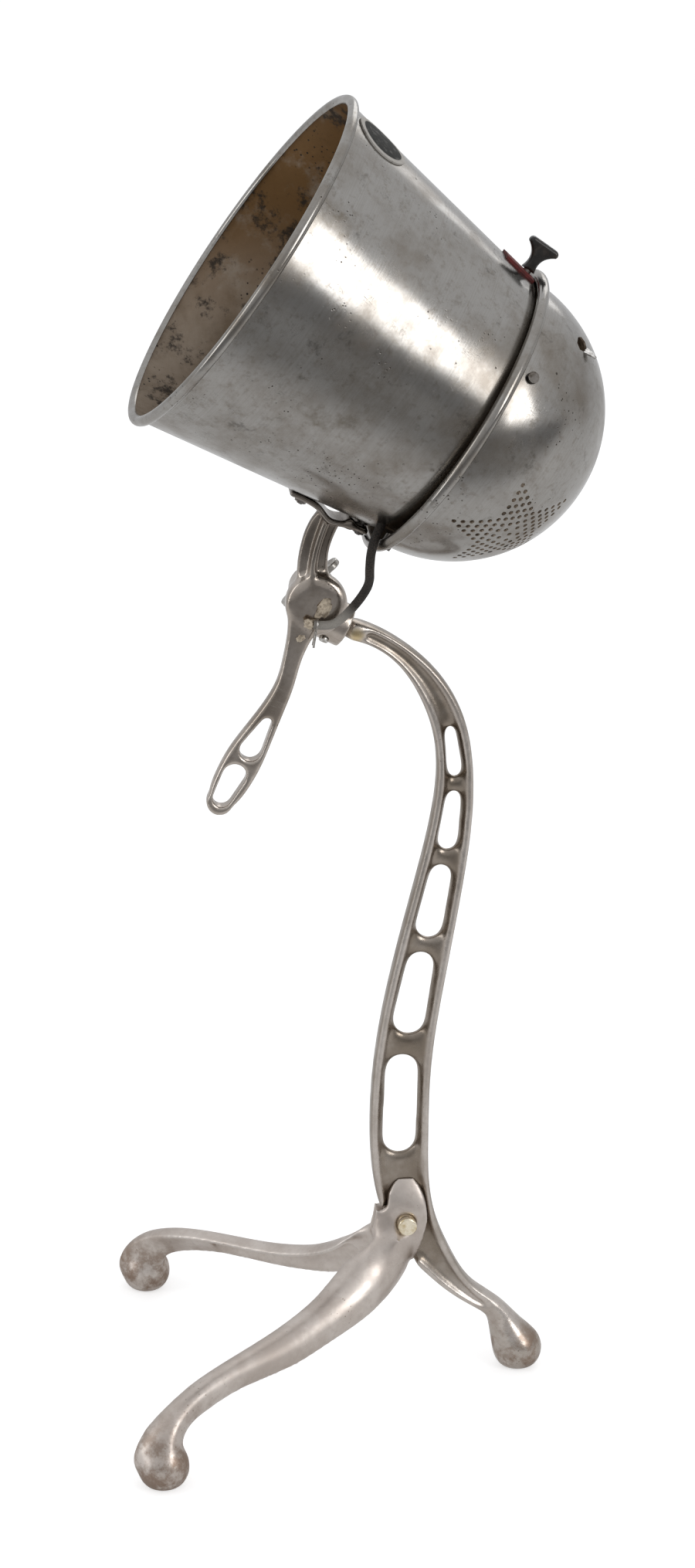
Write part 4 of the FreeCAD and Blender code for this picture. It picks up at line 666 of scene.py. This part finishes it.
smoothed(flap, 50)
bare_sheet = plain_metal("bare_sheet", (0.62, 0.61, 0.59, 1), (0.22, 0.20, 0.18, 1), (0.3, 0.5), 0.003)
coated(flap, bare_sheet)
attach(flap, "head")

# Rim screws and spacers: three dark round-head steel screws through the dome and the reflector's neck, painted
# darker still with the shade at the rim, each with a turned steel sleeve that keeps the two apart.
# Painted shade: the screws' near black is partly their own dark metal and partly the shade round the dome's
# rim.
shade_darkened_steel = plain_metal("shade_darkened_steel", (0.13, 0.12, 0.11, 1), (0.05, 0.04, 0.03, 1), (0.35, 0.55), 0.004)
coated(frame["nodes"]["rim_screws"], shade_darkened_steel)
coated(frame["nodes"]["rim_spacers"], dark_steel)

# Socket bracket, nipple and lock nut: a bent steel spider held inside the neck, and a turned brass nipple
# and nut that clamp the lamp socket to it.
worn_brass = plain_metal("worn_brass", (0.78, 0.66, 0.44, 1), (0.38, 0.26, 0.12, 1), (0.22, 0.42), 0.004)
coated(frame["nodes"]["socket_bracket"], dark_steel)
coated(frame["nodes"]["socket_nipple"], worn_brass)
coated(frame["nodes"]["nipple_nut"], worn_brass)

# Lamp socket: a stamped brass cap and shell snapped together over a paper fibre liner and a glazed
# porcelain core, with the brass screw shell and centre contact in it. The bulb's base is of the same brass.
for name in ("socket_cap", "socket_shell", "screw_shell", "centre_contact", "bulb_base"):
    coated(frame["nodes"][name], worn_brass)

fibre, tree, shader, place = started("fibre_liner")
fibre_grain = clouds(tree, stretched(tree, place, head_angle, (0.02, 0.0008, 0.0008)), 1.0, 3.0)
pressed = mixed(tree, fibre_grain, (0.26, 0.24, 0.21, 1), (0.15, 0.135, 0.115, 1))
tree.links.new(pressed, shader.inputs["Base Color"])
shader.inputs["Roughness"].default_value = 0.85
coated(frame["nodes"]["socket_liner"], fibre)

glazed, tree, shader, place = started("glazed_porcelain")
craze = shader_node(tree, "TexVoronoi", {
    "Vector": place, "Scale": 300.0}, feature="DISTANCE_TO_EDGE")["Distance"]
glaze = mixed(tree, between(tree, craze, 0.0, 0.05), (0.45, 0.40, 0.33, 1), (0.78, 0.75, 0.70, 1))
tree.links.new(glaze, shader.inputs["Base Color"])
shader.inputs["Roughness"].default_value = 0.2
coated(frame["nodes"]["socket_core"], glazed)

# Bulb: a clear blown glass bulb, dusty outside, with a glass stem and a looped carbon filament.
# It screws into the socket.
clear_glass, tree, shader, place = started("clear_glass")
dust = between(tree, clouds(tree, place, 0.01, 6.0), 0.4, 0.75, 0.02, 0.12)
tree.links.new(dust, shader.inputs["Roughness"])
shader.inputs["Base Color"].default_value = (0.97, 0.985, 0.97, 1)
shader.inputs["Transmission Weight"].default_value = 1.0
shader.inputs["IOR"].default_value = 1.48
coated(frame["nodes"]["bulb_glass"], clear_glass)
coated(frame["nodes"]["bulb_stem"], clear_glass)

carbon, tree, shader, place = started("carbon_thread")
thread = mixed(tree, clouds(tree, place, 0.001, 3.0), (0.015, 0.014, 0.013, 1), (0.05, 0.046, 0.042, 1))
tree.links.new(thread, shader.inputs["Base Color"])
shader.inputs["Roughness"].default_value = 0.7
coated(frame["nodes"]["filament"], carbon)

# Switch key: a moulded ebonite paddle on a steel shaft, gone brown-black and polished by fingers,
# standing on a dark red fibre strip that insulates its hole.
ebonite, tree, shader, place = started("ebonite")
faded = between(tree, clouds(tree, place, 0.008, 6.0), 0.4, 0.72)
brown_black = mixed(tree, faded, (0.012, 0.010, 0.009, 1), (0.045, 0.033, 0.024, 1))
tree.links.new(brown_black, shader.inputs["Base Color"])
tree.links.new(between(tree, clouds(tree, place, 0.003), 0.3, 0.7, 0.22, 0.42), shader.inputs["Roughness"])
bumped(tree, shader, clouds(tree, place, 0.001, 3.0), 0.00005, 0.5)
coated(frame["nodes"]["switch_key"], ebonite)
coated(frame["nodes"]["key_shaft"], dark_steel)

red_fibre, tree, shader, place = started("red_fibre")
worn = between(tree, clouds(tree, place, 0.004, 6.0), 0.42, 0.7)
dark_red = mixed(tree, worn, (0.13, 0.012, 0.010, 1), (0.045, 0.008, 0.007, 1))
tree.links.new(dark_red, shader.inputs["Base Color"])
shader.inputs["Roughness"].default_value = 0.7
bumped(tree, shader, clouds(tree, place, 0.0007, 3.0), 0.0001, 0.6)
coated(frame["nodes"]["key_plate"], red_fibre)

# Cord: a short cut length of brown cotton-covered twin flex, from the notch under the dome down to the hub,
# where its end was tied with wire. Its inner lead runs on to the socket.
cord_diameter = 0.0048
cord_route = [
    (0.014727, -0.05022, 0.522492),
    (0.009074, -0.055384, 0.514594),
    (0.005138, -0.0569, 0.504287),
    (0.004486, -0.0539, 0.49307),
    (0.005371, -0.0465, 0.482967),
    (0.002187, -0.04, 0.474055),
    (-0.002332, -0.034, 0.465852),
    (-0.007303, -0.0302, 0.459081),
    (-0.01412, -0.0292, 0.454368),
    (-0.022233, -0.0291, 0.455749),
]
cord_curve = bpy.data.curves.new("cord_braid", "CURVE")
cord_curve.dimensions = "3D"
cord_curve.bevel_depth = cord_diameter / 2
cord_curve.bevel_resolution = 5
cord_curve.resolution_u = 16
cord_curve.use_fill_caps = True
line = cord_curve.splines.new("NURBS")
line.points.add(len(cord_route) - 1)
for point, place in zip(line.points, cord_route):
    point.co = (*place, 1.0)
line.order_u = 3
line.use_endpoint_u = True
cord = added("cord_braid", cord_curve)

braid, tree, shader, place = started("brown_braid")
threads = shader_node(tree, "TexVoronoi", {"Vector": place, "Scale": 1500.0})["Distance"]
soiled = between(tree, clouds(tree, place, 0.008, 5.0), 0.38, 0.7)
cotton = mixed(tree, soiled, (0.060, 0.045, 0.034, 1), (0.022, 0.018, 0.015, 1))
cotton = mixed(tree, between(tree, threads, 0.2, 0.7), cotton, (0.012, 0.010, 0.008, 1))
rubbed = near_point(tree, place, cord_route[-2], 0.008, 0.022)
tree.links.new(mixed(tree, rubbed, cotton, (0.30, 0.28, 0.25, 1)), shader.inputs["Base Color"])
shader.inputs["Roughness"].default_value = 0.8
bumped(tree, shader, threads, -0.0003, 0.8)
cord_curve.materials.append(braid)
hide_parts("cord")
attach(cord, "head")
coated(frame["nodes"]["socket_lead"], braid)
coated(frame["nodes"]["cord_tie"], dull_nickel)


# Filler at the cord's end: a torn lump of old cream filler on the hub's face, a chip of it on the grip's root
# and the pale frayed cotton that shows at the cut.
def torn_lump(name, middle, sizes, turn, roughness):
    """Uneven lump, flat towards the hub."""
    shape = bmesh.new()
    bmesh.ops.create_icosphere(shape, subdivisions=4, radius=1.0)
    for vert in shape.verts:
        swell = noise.noise(vert.co * 1.7 + Vector(middle) * 900) + 0.5 * noise.noise(vert.co * 4.5)
        vert.co *= 1.0 + roughness * swell
    turned = Matrix.Rotation(math.radians(turn), 4, "Y") @ Matrix.Diagonal((*sizes, 1))
    bmesh.ops.transform(shape, matrix=Matrix.Translation(middle) @ turned, verts=shape.verts)
    for face in shape.faces:
        face.smooth = True
    mesh = bpy.data.meshes.new(name)
    shape.to_mesh(mesh)
    shape.free()
    return added(name, mesh)


filler, tree, shader, place = started("cream_filler")
grubby = between(tree, clouds(tree, place, 0.003, 6.0, 0.7), 0.42, 0.66)
tree.links.new(mixed(tree, grubby, (0.62, 0.53, 0.41, 1), (0.22, 0.17, 0.12, 1)), shader.inputs["Base Color"])
shader.inputs["Roughness"].default_value = 0.8
bumped(tree, shader, clouds(tree, place, 0.0012, 5.0), 0.0004, 0.8)
for name, middle, sizes, turn, roughness in (
        ("filler_lump", (-0.0166, -0.0258, 0.4634), (0.0034, 0.0018, 0.0058), 32, 0.35),
        ("filler_chip", (-0.0287, -0.0238, 0.4470), (0.0026, 0.0008, 0.0019), -20, 0.4),
        ("frayed_end", (-0.0238, -0.0284, 0.4556), (0.0032, 0.0021, 0.0024), 15, 0.6)):
    lump = torn_lump(name, middle, sizes, turn, roughness)
    coated(lump, filler)
    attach(lump, "head")
